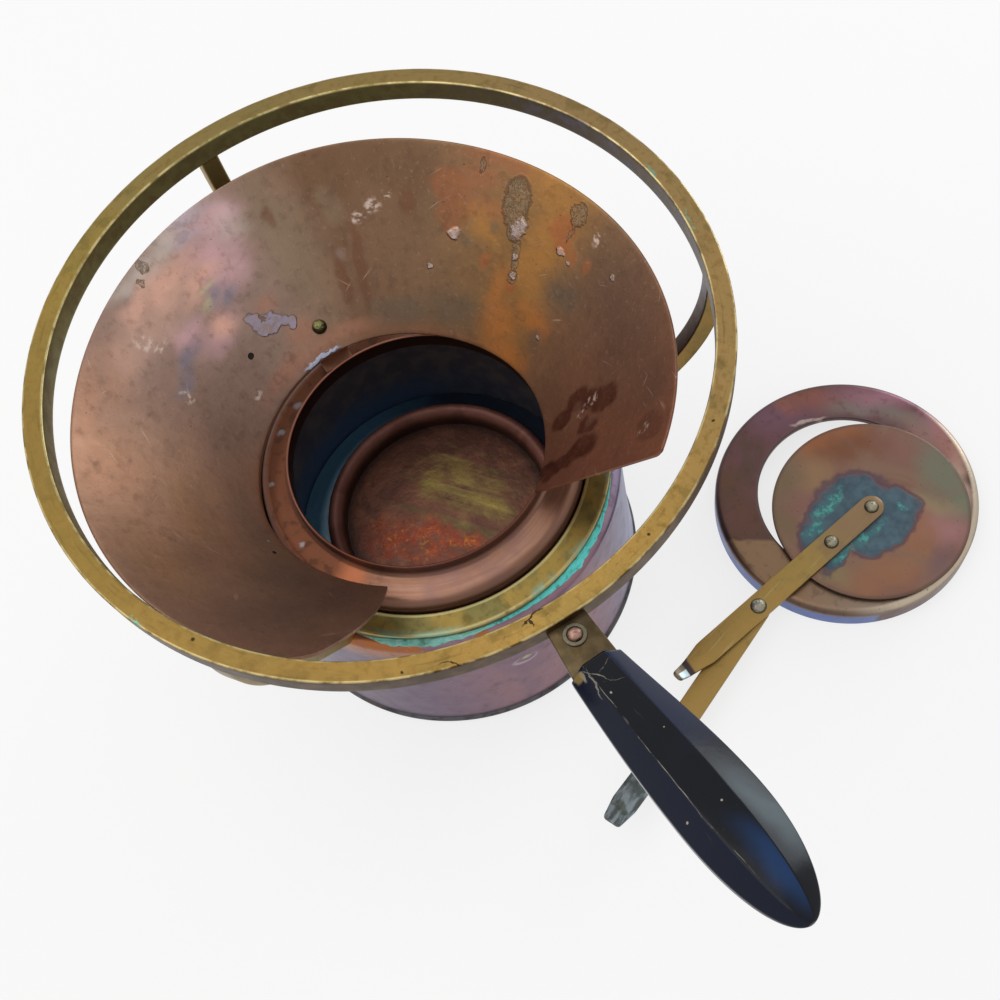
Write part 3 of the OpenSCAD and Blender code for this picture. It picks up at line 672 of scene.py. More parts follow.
def base_copper():
    """Base: glossy lilac and plum heat tint, a painted blue reflection at one side, a painted orange
    reflection by the gallery, fine scratches.
    """
    f = new_finish("base_copper")
    x, y, z = f.axes(f.here())
    cloud = f.noise(26, 3, twist=0.6)
    fine = f.noise(170, 5)
    f.colour = f.mix("705263", "855f68", cloud.between(0.4, 0.62))
    # Painted blue reflection on the side towards +Y.
    f.over("7480ac", (y * 0.9 - x * 0.25 + cloud * 0.03).between(0.02, 0.07) * 0.8)
    f.over(f.mix("7c5a58", "6a5a70", cloud.between(0.36, 0.68)), x.between(0.02, -0.04) * 0.85)
    f.over("544462", (0 - y + x * 0.1 + cloud * 0.02).between(0.03, 0.07) * 0.8)
    # Painted orange reflection on the upper wall by the gallery.
    warm = f.spots(f.warped(f.join(x, y), 60, 0.012), [
        (46, -60, 7, 7), (53, -54, 7, 7), (58, -48, 7, 7), (63, -42, 6, 6), (70, -16, 4, 3)], 0.6)
    f.over("9c6038", warm * z.between(0.062, 0.076))
    # A pale raised oval on the front face, with a pale lilac ring round it.
    front = f.warped(f.join(y, z), 200, 0.002)
    face = x.between(0.05, 0.06)
    pale_oval = f.spots(front, [(-4.9, 45.2, 1.9, 1.3, 10)], 0.5) * face
    halo = f.spots(front, [(-5.6, 43.4, 5.0, 3.0)], 0.25) * face
    halo = halo * (1 - f.spots(front, [(-5.2, 44, 4.2, 2.4)], 0.25))
    f.over("b8acb4", halo * 0.6)
    f.over("a8a48c", pale_oval * 0.9)
    f.over("987e84", z.between(0.0765, 0.0795) * (1 - warm) * 0.5)
    f.over("3a3038", z.between(0.0075, 0.0045) * 0.8)
    f.over("4e3c44", fine.between(0.55, 0.75) * 0.45)
    scratch = f.stretched(1000, 26, 2, None, 0.5).between(0.66, 0.72)
    f.over("b8aab4", scratch * 0.22)
    return f.surface(0.24 + fine * 0.2, 0.85, fine + scratch * 0.3 + pale_oval * 4, 0.0001)


def edge_tin(tones):
    """Rolled foot: dull grey with dark grime in patches."""
    f = new_finish("edge_tin")
    fine = f.noise(240, 5)
    f.colour = f.mix(tones.tin, "3e3a40", fine.between(0.42, 0.66))
    f.flecks("5c4438", 60, 3, 0.55, 0.7, 0.5)
    return f.surface(0.38 + fine * 0.2, 0.7, fine, 0.00015)


def dull_copper(name, code, dark):
    """Copper that is out of sight at rest: brown with darker clouds."""
    f = new_finish(name)
    fine = f.noise(120, 5)
    f.colour = f.mix(code, dark, fine.between(0.25, 0.8))
    return f.surface(0.4 + fine * 0.2, 0.8, fine, 0.0002)


def verdigris_crust(tones):
    """Smooth blue-green crust: turquoise at one side and whitish green at the other, with dark green
    pits."""
    f = new_finish("verdigris_crust")
    _, y, _ = f.axes(f.here())
    lump = f.noise(300, 5)
    grit = f.noise(1600, 3)
    pale = (lump * 0.02 - y).between(0.012, 0.034)
    f.colour = f.mix(tones.verdigris, "86c8bc", pale)
    f.over("c8f0ee", (lump * 0.7 + grit * 0.3).between(0.54, 0.7) * 0.7)
    f.over("3c8a80", lump.between(0.44, 0.34) * 0.8)
    f.flecks("4a6a48", 90, 3, 0.58, 0.7, 0.5)
    return f.surface(0.7, 0.0, lump + grit * 0.3, 0.0004)


def flange_copper(burner):
    """Burner top: brown-pink copper with faint rings; its lip and the collar's outer wall painted dark
    red-brown as shade, with a painted highlight along the top of the lip at the rear; and orange-brown with
    dark specks and grey dots on its far side."""
    f = new_finish("flange_copper")
    x, y, z = f.axes(f.here())
    radius = f.length(x, y)
    around = f.angle(0 - y, 0 - x)
    top = BOX["burner_top"][1].z
    streak = f.noise(1.0, 4, f.join(radius * 900, around * 2.2))
    fine = f.noise(260, 5)
    f.colour = f.mix("85604c", "8f6c5c", streak.between(0.4, 0.66))
    f.flecks("7a5a56", 45, 3, 0.45, 0.62, 0.6)
    far = (x * 0.6 + y * 0.8 + fine * 0.01).between(0.012, -0.022)
    f.over("542e1a", far * 0.95)
    f.over("3c2418", far * fine.between(0.52, 0.64) * 0.7)
    ragged = f.warped(f.join(x, y), 70, 0.01)
    f.over("a9623e", f.spots(ragged, [(30, -46, 12, 4.6, -58)], 0.9) * 0.5)
    f.over("54382e", radius.between(0.0585, 0.0612) * 0.6)
    # The lip is painted dark red-brown, as shade.
    lip = z.between(top - 0.0012, top - 0.0002)
    f.over("562e22", lip * 0.9)
    # Painted highlight along the top of the lip at the rear.
    bright = lip * z.between(top - 0.0004, top - 0.0001) * (0 - x).between(-0.03, 0.01)
    f.over("a06c58", bright * 0.4)
    # Painted shade down the collar's outer wall and in the hollow at its foot.
    foot = radius.between(burner.collar + 0.0022, burner.collar) * (1 - lip)
    f.over("43281f", foot * 0.6)
    inside = radius.between(burner.collar - 0.0006, burner.collar - 0.0009)
    f.over("2c1d1c", inside * (1 - lip))
    blue = f.spots(f.warped(f.join(x, y), 500, 0.002), [
        (-39, -40, 1.2, 1.4), (-21, -53, 1.0, 1.0), (-46, -29, 1.3, 1.6), (8, -55, 1.0, 1.0)], 0.5)
    f.over("7f8690", blue * 0.5)
    return f.surface(0.32 + fine * 0.16, 0.85, streak * 0.3 + fine * 0.6, 0.00012)


def pot_copper(tones):
    """Burner pot: dull copper outside, and inside a sooty wall with brown specks and a painted navy-blue
    reflection low down at one side."""
    f = new_finish("pot_copper")
    x, y, z = f.axes(f.here())
    fine = f.noise(130, 5)
    wall = BOX["burner_pot"][1].x
    outside = f.length(x, y).between(wall - 0.0008, wall - 0.0004)
    f.colour = f.mix(tones.soot, "585254", fine.between(0.38, 0.64))
    # The film mask is a painted navy-blue reflection low on the inner wall, at one side.
    film = (z + fine * 0.016).between(0.066, 0.046)
    film = film * (0 - x * 0.53 - y * 0.85 + fine * 0.02).between(-0.03, 0.04)
    f.over("3e5476", film * 0.85)
    f.flecks("4a3a2e", 320, 4, 0.66, 0.74, 0.6)
    f.over(f.mix("7e5441", "684430", fine.between(0.32, 0.72)), outside)
    return f.surface(0.5 + fine * 0.2, 0.25 + outside * 0.5, fine, 0.0003)


def pan_copper(burner):
    """Fuel pan: brown floor brushed with olive, an orange-red stain with a dark heart, a soft brown bead
    with a painted shadow at its inner foot, and a groove outside it painted as a reflection, dark navy
    turning teal at one side."""
    f = new_finish("pan_copper")
    x, y, _ = f.axes(f.here())
    ox = x - burner.bead_shift * math.cos(BEAD_HEADING)
    oy = y - burner.bead_shift * math.sin(BEAD_HEADING)
    flat = f.join(x, y)
    plane = f.warped(flat, 90, 0.02)
    radius = f.length(ox, oy)
    cloud = f.noise(55, 5, twist=0.8)
    fine = f.noise(260, 5)
    brush = f.stretched(150, 18, 4, flat, math.radians(38))
    f.colour = f.mix("5c382c", "744a38", cloud.between(0.4, 0.65))
    f.over("5c5230", brush.between(0.45, 0.65) * f.spots(plane, [(-2, 10, 28, 20, 40)], 0.7) * 0.7)
    olive = f.spots(plane, [(-7, 13, 18, 9, 20), (6, 20, 10, 7, 20), (-15, 4, 8, 6, 20)], 0.7)
    f.over("84703a", olive * (brush * 0.6 + cloud * 0.4).between(0.4, 0.58))
    f.over("a68f4a", olive * brush.between(0.52, 0.7) * 0.7)
    red = f.spots(plane, [(3, -16, 18, 9, 50), (26, 33, 5, 9, 60), (16, 0, 9, 5, 40)], 0.6)
    heart = f.spots(plane, [(6, -17, 5, 3.4, 60)], 0.5)
    f.over("883820", red * fine.between(0.25, 0.55) * (0.9 - heart * 0.6))
    vein = f.noise(130, 5, twist=1.8).between(0.5, 0.62)
    f.over("a85426", red * vein * (1 - heart) * 0.6)
    f.over("b8862e", red * f.noise(260, 4, twist=1.8).between(0.58, 0.66) * 0.35)
    bead = radius.between(burner.pan_floor - 0.0002, burner.pan_floor + 0.0016)
    f.over(f.mix("74463c", "86564a", cloud.between(0.42, 0.6)), bead)
    # Painted shadow round the inner foot of the bead.
    painted_bead_shadow = radius.between(burner.pan_floor - 0.005, burner.pan_floor) * (1 - bead)
    f.over("201513", painted_bead_shadow * 0.75)
    # The groove is painted as a reflection: dark navy, turning teal at one side, held by the film colour.
    edge = burner.pan_floor + burner.pan_bead
    groove = radius.between(edge - 0.0012, edge - 0.0002)
    side = (0 - x * 0.5 - y * 0.87 + cloud * 0.01).between(0.0, 0.048)
    far = radius.between(edge + 0.0056, edge + 0.0012)
    film = f.mix("1a2434", f.mix("84c8f0", "ccf0ff", far * side), side * (far * 0.7 + 0.3))
    f.over(film, groove)
    matt = bead * (1 - groove)
    return f.surface(0.36 + fine * 0.2 + matt * 0.14, 0.6 - matt * 0.35, fine + cloud * 0.6, 0.0003)


# Heat tints of the wind shield: its ground at angles from the rear, then layers of colour, strength,
# softness, raggedness and marks, which lie in degrees from the rear and millimetres up the slope
SHIELD_GROUND = ((-140, "80523f"), (-126, "7e533f"), (-112, "7b5641"), (-98, "7a5943"), (-86, "7a5c42"),
                 (-76, "8f683c"), (-62, "82623f"), (-40, "7a5d45"), (-14, "7a5c47"), (-8, "856a55"),
                 (4, "8b7261"), (10, "8e7668"), (30, "8c7367"), (50, "8f7365"), (72, "9b7760"),
                 (92, "947059"), (112, "8a6b58"), (140, "805e4c"))
SHIELD_TINTS = (
    ("a4765b", 0.6, 0.8, 3, [(74, 60, 9, 12), (60, 68, 12, 6), (50, 60, 9, 7)]),
    ("96704f", 0.5, 0.8, 3, [(84, 33, 10, 5), (100, 55, 10, 10)]),
    ("6a5248", 0.55, 0.8, 3, [(126, 40, 9, 22, 10), (133, 12, 8, 14), (118, 16, 8, 10)]),
    ("7a655c", 0.5, 0.8, 3, [(55, 14, 16, 9), (84, 10, 16, 8)]),
    # The next six layers, pale lilac, pink and peach on the left between about 8 and 45 degrees, are partly
    # heat tint and partly a painted reflection.
    ("a88c82", 0.55, 1.0, 4, [(24, 52, 20, 22), (12, 60, 10, 14)]),
    ("c2b6ac", 0.8, 0.9, 5, [(21, 68, 9, 4), (30, 70, 6, 3), (8, 62, 4, 6)]),
    ("cfa4aa", 0.8, 1.0, 6, [(11, 67, 6, 6, -20), (16, 57, 5, 7), (12, 50, 6, 8), (26, 33, 8, 5),
                             (31, 43, 4.4, 5)]),
    ("b4acbe", 0.45, 0.9, 6, [(14, 70, 5, 2.4), (18, 63, 3, 3)]),
    ("dcaa96", 0.95, 1.0, 6, [(27, 58, 6, 6, 20), (23, 50, 5, 4), (34, 62, 6, 4), (24, 36, 4, 4)]),
    ("c8a290", 0.6, 0.9, 6, [(36, 54, 8, 6), (45, 58, 8, 8)]),
    ("7e7a8a", 0.7, 0.8, 5, [(18.4, 44.4, 2.8, 2.4, 20), (15.4, 40, 2.6, 2.2), (36, 39.6, 5, 3.2, -8),
                             (43, 36.6, 5, 3)]),
    ("c0b890", 0.6, 0.7, 4, [(22.4, 42, 1.6, 1.8, 30), (19.4, 46.4, 1.8, 1.2)]),
    ("a9755e", 0.6, 0.8, 2, [(14, 6, 18, 3.6), (-6, 6, 14, 3), (6, 12, 6, 5), (10, 29, 3, 3)]),
    ("8a5a44", 0.45, 0.7, 1, [(100, 0.6, 44, 2.0), (-30, 2, 40, 2.4)]),
    ("6e513a", 0.65, 0.3, 2, [(-17, 62, 6, 12), (-26, 66, 10, 8), (-36, 62, 8, 10)]),
    ("86735c", 0.5, 0.4, 2, [(-16.6, 51, 2.8, 7), (-3, 45, 6, 22)]),
    ("6c4532", 0.6, 0.35, 1, [(-13.6, 24, 1.8, 10, 2), (-20, 27, 1.7, 18, 4), (-36, 50, 2.4, 5),
                              (-2.4, 55, 1.2, 4)]),
    ("8c7a74", 0.5, 0.4, 1, [(-15.2, 33.5, 1.1, 1.6)]),
    ("925a3a", 0.7, 0.3, 1, [(-46.8, 56, 4.4, 7), (-47, 48, 3.4, 7), (-48, 42, 2, 4),
                             (-51.6, 48, 1.0, 5, 10)]),
    ("9c6042", 0.5, 0.8, 4, [(-59, 69, 8, 3.4), (-55, 60, 4, 5), (-57, 52, 5, 4)]),
    ("a8753a", 0.7, 0.9, 4, [(-73, 60, 3.4, 12), (-75, 42, 5, 13), (-58, 45, 4, 6), (-70, 66, 4, 6)]),
    ("b07038", 0.8, 0.9, 4, [(-68.5, 12, 5, 11), (-76, 3, 8, 4), (-80, 22, 5, 6), (-64, 24, 3, 8)]),
    ("66594a", 0.75, 0.8, 3, [(-50, 12, 11, 7), (-30, 9, 10, 5), (-85, 37, 6, 6), (-84, 16, 3, 4)]),
    ("5a473c", 0.55, 0.9, 3, [(-98, 52, 9, 18), (-110, 50, 12, 18), (-122, 58, 8, 12)]),
    ("5c554a", 0.5, 0.6, 2, [(-60.5, 46.5, 1.2, 1.6), (-52, 38, 1.6, 2)]),
    ("9a5b36", 0.75, 0.3, 1, [(-77, 57, 3.2, 5, 10), (-79, 52, 2.4, 3.4), (-69, 27.6, 1.4, 2),
                              (-58.8, 33, 1.5, 3.2), (-82.4, 50, 1.2, 3), (-87, 51.6, 1.0, 3)]),
    ("481d11", 0.85, 0.2, 2, [(-118.8, 35, 3.4, 7), (-114.5, 21, 3.4, 7), (-116.6, 27, 3, 6),
                              (-116.4, 10.5, 2.8, 6), (-123.8, 25.5, 2.2, 6), (-131, 23, 4.4, 9, -10),
                              (-134, 14, 3.4, 8), (-134.4, 5, 4, 5)]),
    ("553225", 0.6, 0.14, 1, [(-134.2, 61.6, 3.4, 7, 8)]),
    ("7d5a48", 0.6, 0.3, 1, [(-116, 20, 2.6, 3), (-119.4, 17, 3, 1.2), (-123, 27, 1.4, 3)]))


def shield_tint(degrees, run):
    """Colour at each point of the sheet: a ground that drifts round the cone, then each layer of marks
    over it. The plane of the marks strays by two cloudy fields, which makes their edges ragged."""
    stops = np.array([stop for stop, code in SHIELD_GROUND])
    tones = np.array([tint(code) for stop, code in SHIELD_GROUND])
    drift = degrees + 9 * (cloud(degrees, run, cell=34, seed=1) - 0.5)
    colour = np.stack([np.interp(drift, stops, tones[:, k]) for k in range(3)], -1)
    colour *= (0.82 + 0.36 * cloud(degrees, run, cell=9, seed=2, octaves=5))[..., None]
    colour *= (0.94 + 0.12 * cloud(degrees * 2.2, run / 6, cell=4, seed=3, octaves=3))[..., None]
    for number, (code, strength, soft, ragged, marks) in enumerate(SHIELD_TINTS):
        p = degrees + ragged * 2.4 * (cloud(degrees, run, 2.2 * ragged + 3, 10 + number) - 0.5)
        q = run + ragged * 2.4 * (cloud(degrees, run, 2.2 * ragged + 3, 40 + number) - 0.5)
        mask = np.max([patch(p, q, mark, soft) for mark in marks], axis=0) * strength
        broad = cloud(degrees, run, 5, 70 + number)
        mask *= 0.5 + 0.5 * broad + 0.35 * cloud(degrees, run * 3, 2.4, 100 + number)
        colour += (np.array(tint(code)) - colour) * np.clip(mask, 0, 1)[..., None]
    return np.clip(colour, 0, 1)


def shield_copper(shield):
    """Wind shield: the sheet's own tints, with fine grain, dried drips with dark outlines and pale beads,
    scuffs, a flaked patch, droplet rings and a crust at the mouth. The plane of these marks is unrolled:
    degrees from the rear against the run up the slope."""
    f = new_finish("shield_copper")
    x, y, z = f.axes(f.here())
    slope, _ = shield_slope(shield)
    around = f.angle(shield.axis_y - y, shield.axis_x - x)
    run = (z - shield.low) / math.sin(slope)
    flat = f.join(around * (180 / math.pi * MM), run)
    crisp = f.warped(flat, 420, 0.0026)
    fine = f.noise(260, 5)
    f.colour = f.node("Attribute", {"attribute_name": "tint"}, out="Color")
    f.over("4d372c", fine.between(0.5, 0.75) * 0.28)
    f.flecks("b99c8a", 700, 3, 0.58, 0.74, 0.16)
    f.flecks("3f2c22", 1500, 2, 0.62, 0.76, 0.3)
    rub = f.noise(1.0, 3, f.join(around * 150, run * 55)).between(0.6, 0.7)
    f.over("b89c8c", rub * 0.05)
    hair = f.stretched(620, 14, 2, flat, 0.9).between(0.69, 0.74) * f.noise(60, 2).between(0.5, 0.62)
    cross = f.stretched(760, 18, 2, flat, 2.3).between(0.66, 0.72) * f.noise(44, 2).between(0.5, 0.6)
    f.over("d0b8a4", (hair | cross) * 0.32)
    cells = {"Vector": crisp, "Scale": 120.0}
    cell = f.node("TexVoronoi", None, cells)
    chance = f.node("TexVoronoi", None, cells, out="Color")
    chosen = f.axes(chance)[0].between(0.87, 0.89)
    ring = cell.between(0.1, 0.18) * cell.between(0.32, 0.22) * chosen
    f.over("4f3a32", ring * 0.2)
    f.over("2c1c16", f.noise(900, 2, flat).between(0.71, 0.76) * 0.7)
    away = f.nearest(crisp, [
        (-63.8, 57.6, 3.4, 9.4), (-65.6, 49, 2.6, 5.4, 10), (-67.2, 41.6, 1.1, 4),
        (-67.8, 36.6, 1.1, 2.4), (-68.5, 31.6, 1.5, 3), (-79.4, 65, 2.0, 4.4), (-79.5, 58, 0.5, 4),
        (-54, 66.6, 0.7, 3), (27, 69, 1.2, 2.4), (30, 66, 0.7, 1.6)])
    skin = away.between(1.05, 0.85)
    line = away.between(0.82, 0.95) * away.between(1.14, 1.0)
    crinkle = f.noise(520, 3).between(0.42, 0.62)
    net = f.noise(900, 2, twist=1.2).between(0.5, 0.58)
    f.over("877660", skin * (0.35 + crinkle * 0.4))
    f.over("5a4530", skin * net * 0.4)
    f.over("40291f", line * 0.42)
    beads = f.nearest(crisp, [
        (-48.5, 40, 1.8, 2.2), (-66, 48.6, 2.2, 4.4, 8), (-67.2, 38.4, 0.9, 1.4), (-68.5, 32, 1.1, 1.6),
        (-79, 49.6, 1.6, 1.3), (-82.4, 47.6, 0.7, 1.0), (-94.8, 57, 0.8, 1.0), (-41.5, 26.8, 1.0, 0.9),
        (-85, 17, 0.8, 0.9)]).between(1.15, 0.7)
    f.over("b5a29c", beads * (0.4 + crinkle * 0.5))
    scuff = f.nearest(crisp, [
        (-26.8, 49, 2.4, 2.6), (-22.8, 45, 2.2, 2.0), (-31, 52, 1, 0.8), (41, 55, 2, 4), (40, 49, 3, 1.6),
        (48.2, 33.6, 1.6, 3.2), (34.4, 9.4, 2.2, 2.0), (-117, 28, 1.4, 4), (-119, 22, 1, 2.4),
        (-134, 58, 1.0, 2.6, -20), (-86, 62, 1.0, 2.6), (96, 6, 0.8, 0.8)]).between(1.3, 0.6)
    f.over("d9c4b8", scuff * f.noise(480, 4, flat).between(0.45, 0.62) * 0.7)
    flake = f.nearest(f.warped(flat, 170, 0.011), [
        (17.4, 27, 2.2, 3.2, 20), (14.4, 24.6, 3.4, 2.6), (10.6, 22, 3.2, 2.6, 20), (7.6, 19.6, 2.4, 1.8)])
    shade = flake.between(0.8, 0.96) * flake.between(1.3, 1.08)
    flake = flake.between(1.1, 0.85)
    f.over("4a3832", shade * 0.5)
    f.over("9a92a6", flake * (0.3 + f.noise(300, 4, flat).between(0.4, 0.58) * 0.5))
    crust = f.nearest(f.warped(flat, 300, 0.004), ((5, 1.4, 8, 1.0), (11, 0.8, 3, 0.7))).between(1.2, 0.7)
    f.over("aab4cc", crust * 0.9)
    hole = f.nearest(flat, ((25, 19.9, 1.0, 1.1), (102, 7.6, 0.7, 0.8))).between(1.2, 0.85)
    f.over("120d0b", hole * 0.95)
    # Painted highlight along part of the rim.
    rim = run.between(0.0712, 0.0717) * around.between(-0.7, 0.2)
    f.over("b98d76", rim * fine.between(0.3, 0.55) * 0.4)
    height = fine * 0.3 + skin * net * 0.35 + line * 0.2 + beads + flake * 0.4 + crust * 0.8 - hole * 2
    return f.surface(0.36 + fine * 0.16 + skin * 0.1 - beads * 0.1, 0.8, height, 0.0004)


def lid_front(x, y):
    """Plane of the lid turned to its front: to the right, and down to the near side."""
    return x * 0.533 + y * 0.842, x * 0.829 - y * 0.559


def cap_copper(centre):
    """Regulator cap: plum and bronze heat tints round the ring, a painted beige reflection at the front with
    a sharp edge, a pale rim that is a painted highlight with painted shade on the rest of its edge, a
    painted highlight along the inner lip, and a skirt painted as a reflection, blue at one side. The marks
    lie in a plane turned to the cap's front."""
    f = new_finish("cap_copper")
    x, y, z = f.axes(f.here())
    ox, oy = x - centre[0], y - centre[1]
    radius = f.length(ox, oy)
    cloud = f.noise(32, 4, twist=0.8)
    fine = f.noise(190, 5)
    height = BOX["regulator_cap"][1].z
    right, low = lid_front(ox, oy)
    plane = f.warped(f.join(right, low), 60, 0.012)
    f.colour = f.mix("5f4244", "54403a", cloud.between(0.42, 0.6))
    for code, amount, marks in (
            ("6c4e5c", 0.7, [(-28, -41, 15, 9)]),
            ("8c5644", 0.55, [(-13, -48, 12, 4.4, 12), (-22, -46, 6, 4, 20)]),
            ("946a76", 0.75, [(20, -48, 18, 6), (42, -32, 8, 11)]),
            ("746e66", 0.65, [(7, -42, 12, 3.4), (26, -38, 12, 4, 30)]),
            ("86685c", 0.7, [(36, -24, 6, 12, -30)]),
            # Painted highlight down the cap's right edge.
            ("b89e8c", 0.8, [(49, -4, 3, 16)]),
            ("94685e", 0.7, [(46, -22, 4, 12, -20)]),
            ("5c4234", 0.7, [(-45, 10, 8, 13), (-50, -6, 4, 8)])):
        f.over(code, f.spots(plane, marks, 0.9) * amount)
    # Painted beige reflection at the front, with a sharp edge.
    front = (low + cloud * 0.008).between(0.0255, 0.0275)
    beige = f.mix("826850", "8a7868", right.between(-0.03, 0.01))
    f.over(beige, front * 0.9)
    f.over("4c3630", fine.between(0.54, 0.68) * 0.35)
    # The near skirt is painted as a reflection: dark pink-brown, blue at one side.
    skirt = z.between(height - 0.002, height - 0.0042)
    blue = (right + cloud * 0.006).between(0.0135, 0.0105)
    f.over(f.mix("5c4044", "5c70a8", blue), skirt * low.between(-0.01, 0.012) * 0.95)
    lip = radius.between(0.0396, 0.0384)
    f.over("5a4a48", lip * 0.6)
    # Painted highlight along the inner lip.
    shine = f.spots(plane, [(-14, -36.4, 6, 1.0, -14)], 0.5)
    f.over("a89890", shine * fine.between(0.36, 0.5) * 0.8)
    # The pale rim at the right and front is a painted highlight; the rest of the outer edge is painted dark
    # as shade.
    edge = radius.between(0.0525, 0.0538) * radius.between(0.0563, 0.0552)
    pale = (right * 0.8 + low * 0.35).between(0.012, 0.034)
    f.over("c4b6a0", edge * pale * 0.75)
    dark = radius.between(0.0536, 0.0556) * z.between(height - 0.003, height - 0.0015)
    f.over("2e2026", dark * (1 - pale) * 0.55)
    f.flecks("3a2a2a", 700, 3, 0.66, 0.74, 0.6)
    return f.surface(0.26 + fine * 0.2, 0.85, fine, 0.00012)


def disc_copper(disc):
    """Shutter disc: wedges of bronze, orange, pink and grey-green heat tint, and a ragged slate patina
    round the lever with turquoise grains along it and a plum border. The marks lie in a plane turned as
    the cap's is."""
    f = new_finish("disc_copper")
    x, y, _ = f.axes(f.here())
    ox, oy = x - disc[0], y - disc[1]
    plane = f.join(*lid_front(ox, oy))
    soft = f.warped(plane, 60, 0.016)
    cloud = f.noise(36, 4, twist=0.8)
    fine = f.noise(220, 5)
    f.colour = f.mix("76564a", "7a6050", cloud.between(0.4, 0.62))
    for code, amount, marks in (
            ("8a5432", 0.7, [(-20, -33, 10, 7, -35), (-8, -37, 9, 4)]),
            ("6e4632", 0.85, [(-12, -27, 9, 6, -20), (0, -31, 10, 6)]),
            ("87694c", 0.75, [(-22, -15, 7, 9, 20)]),
            ("6c5c46", 0.8, [(-35, -12, 6, 14, 10), (-36, 6, 5, 8)]),
            ("7a5650", 0.7, [(-29, -4, 6, 5), (18, -29, 12, 8, 20)]),
            ("686c5c", 0.85, [(32, -17, 8, 13, -20), (37, -2, 5, 10)]),
            ("86765c", 0.8, [(27, -2, 9, 4, 24)]),
            ("946a68", 0.85, [(29, 10, 10, 7, 40)]),
            ("8a6046", 0.7, [(18, 12, 6, 12, 20), (6, 30, 14, 7), (-6, 34, 8, 5)]),
            ("6c5456", 0.75, [(25, 27, 6, 9, 40)]),
            ("7c7050", 0.75, [(-19, 31, 6, 5, 30)])):
        f.over(code, f.spots(soft, marks, 0.8) * amount)
    rim = f.length(ox, oy).between(0.0396, 0.0414)
    f.over("4a3c34", rim * 0.5)
    ragged = f.warped(plane, 110, 0.011)
    blobs = [(-6, -3.6, 15.6, 12.6), (11, -1.4, 9.4, 8.4), (1, 12.6, 13, 8.4, -20), (-21, 8, 16, 7, 118),
             (-16, 24, 9, 4, 130), (9, 6, 8, 8)]
    away = f.nearest(ragged, blobs) + fine * 0.3
    patina = away.between(1.16, 0.96)
    border = away.between(1.44, 1.2) * (1 - patina)
    f.over("4a3a48", border * 0.7)
    slate = f.mix("2a4656", "4c6c78", (fine * 0.6 + cloud * 0.4).between(0.34, 0.7))
    f.over(slate, patina * 0.92)
    f.over("34384e", patina * away.between(0.9, 1.1) * 0.6)
    bright = f.spots(ragged, [
        (-18, -1, 9, 2.0, 126), (-25, 10, 5, 1.6, 126), (-3, 13, 9, 2.0, 144), (14, -1, 2, 1.4),
        (-14, 23, 6, 1.6, 144)], 0.6)
    grain = bright * f.noise(420, 4).between(0.44, 0.58)
    f.over("367c7c", bright * 0.5)
    f.over("5cb4a8", grain * 0.55)
    f.flecks("2a2420", 900, 2, 0.7, 0.76, 0.7)
    return f.surface(0.3 + fine * 0.16 + patina * 0.25, 0.8 - patina * 0.55,
                     fine * 0.5 + patina * 0.8 + grain, 0.0002)


def strap_brass(name, tones, sky_reflection_from=None):
    """Straps of the regulator: golden brass with lengthwise scratches. The lever is brown over the disc,
    with painted shade in the bend of its finger tab and a painted highlight on the tab; the arm's bent end
    is painted grey-blue with streaks along it, as a reflection of the sky, beyond a place along Y."""
    f = new_finish(name)
    rough, blotch, _ = aged_brass(f, tones, shine=0.7)
    f.over("8a7448", 0.4)
    scratch = f.stretched(700, 20, 2, None, math.radians(105)).between(0.6, 0.7)
    f.over("b8a678", scratch * 0.25)
    x, y, _ = f.axes(f.here())
    if sky_reflection_from is None:
        f.over("7a6450", (y + blotch * 0.02).between(0.124, 0.15) * 0.75)
        # Painted shade in the bend at the root of the finger tab.
        finger = y.between(0.0522, 0.0508)
        f.over("2e2636", finger * 0.9)
        f.over("726858", y.between(0.0492, 0.0484) * 0.9)
        # Painted blue-white highlight on one side of the finger tab.
        glint = (x * 0.988 + y * 0.153).between(0.1112, 0.1118) * y.between(0.0492, 0.0486)
        f.over("c4d8de", glint * y.between(0.0448, 0.0456) * 0.9)
    else:
        # Painted grey-blue reflection of the sky on the arm's bent end.
        end = (y + blotch * 0.006).between(sky_reflection_from + 0.012, sky_reflection_from - 0.004)
        streak = f.stretched(420, 9, 3, None, math.radians(113))
        grey = f.mix("3a4850", "78868e", streak.between(0.38, 0.62))
        grey = f.mix(grey, "2c3a34", blotch.between(0.54, 0.64) * 0.7)
        f.over(grey, end * 0.9)
    return f.surface(rough, 0.85, blotch + scratch * 0.5, 0.0001)


def rivet_metal(name, code, dirt):
    """Rivet heads: pale metal on the crown and a dark ring low down that follows which way the surface
    faces, so it is dirt and painted shade together; worn in patches.
    """
    f = new_finish(name)
    fine = f.noise(900, 4)
    _, _, nz = f.axes(f.facing())
    # The dark ring follows the facing of the surface: dirt and painted shade together.
    f.colour = f.mix(code, dirt, (nz + fine * 0.3).between(1.0, 0.72) * 0.9)
    f.over(dirt, fine.between(0.56, 0.68) * 0.5)
    return f.surface(0.3 + fine * 0.2, 0.85, fine, 0.0002)


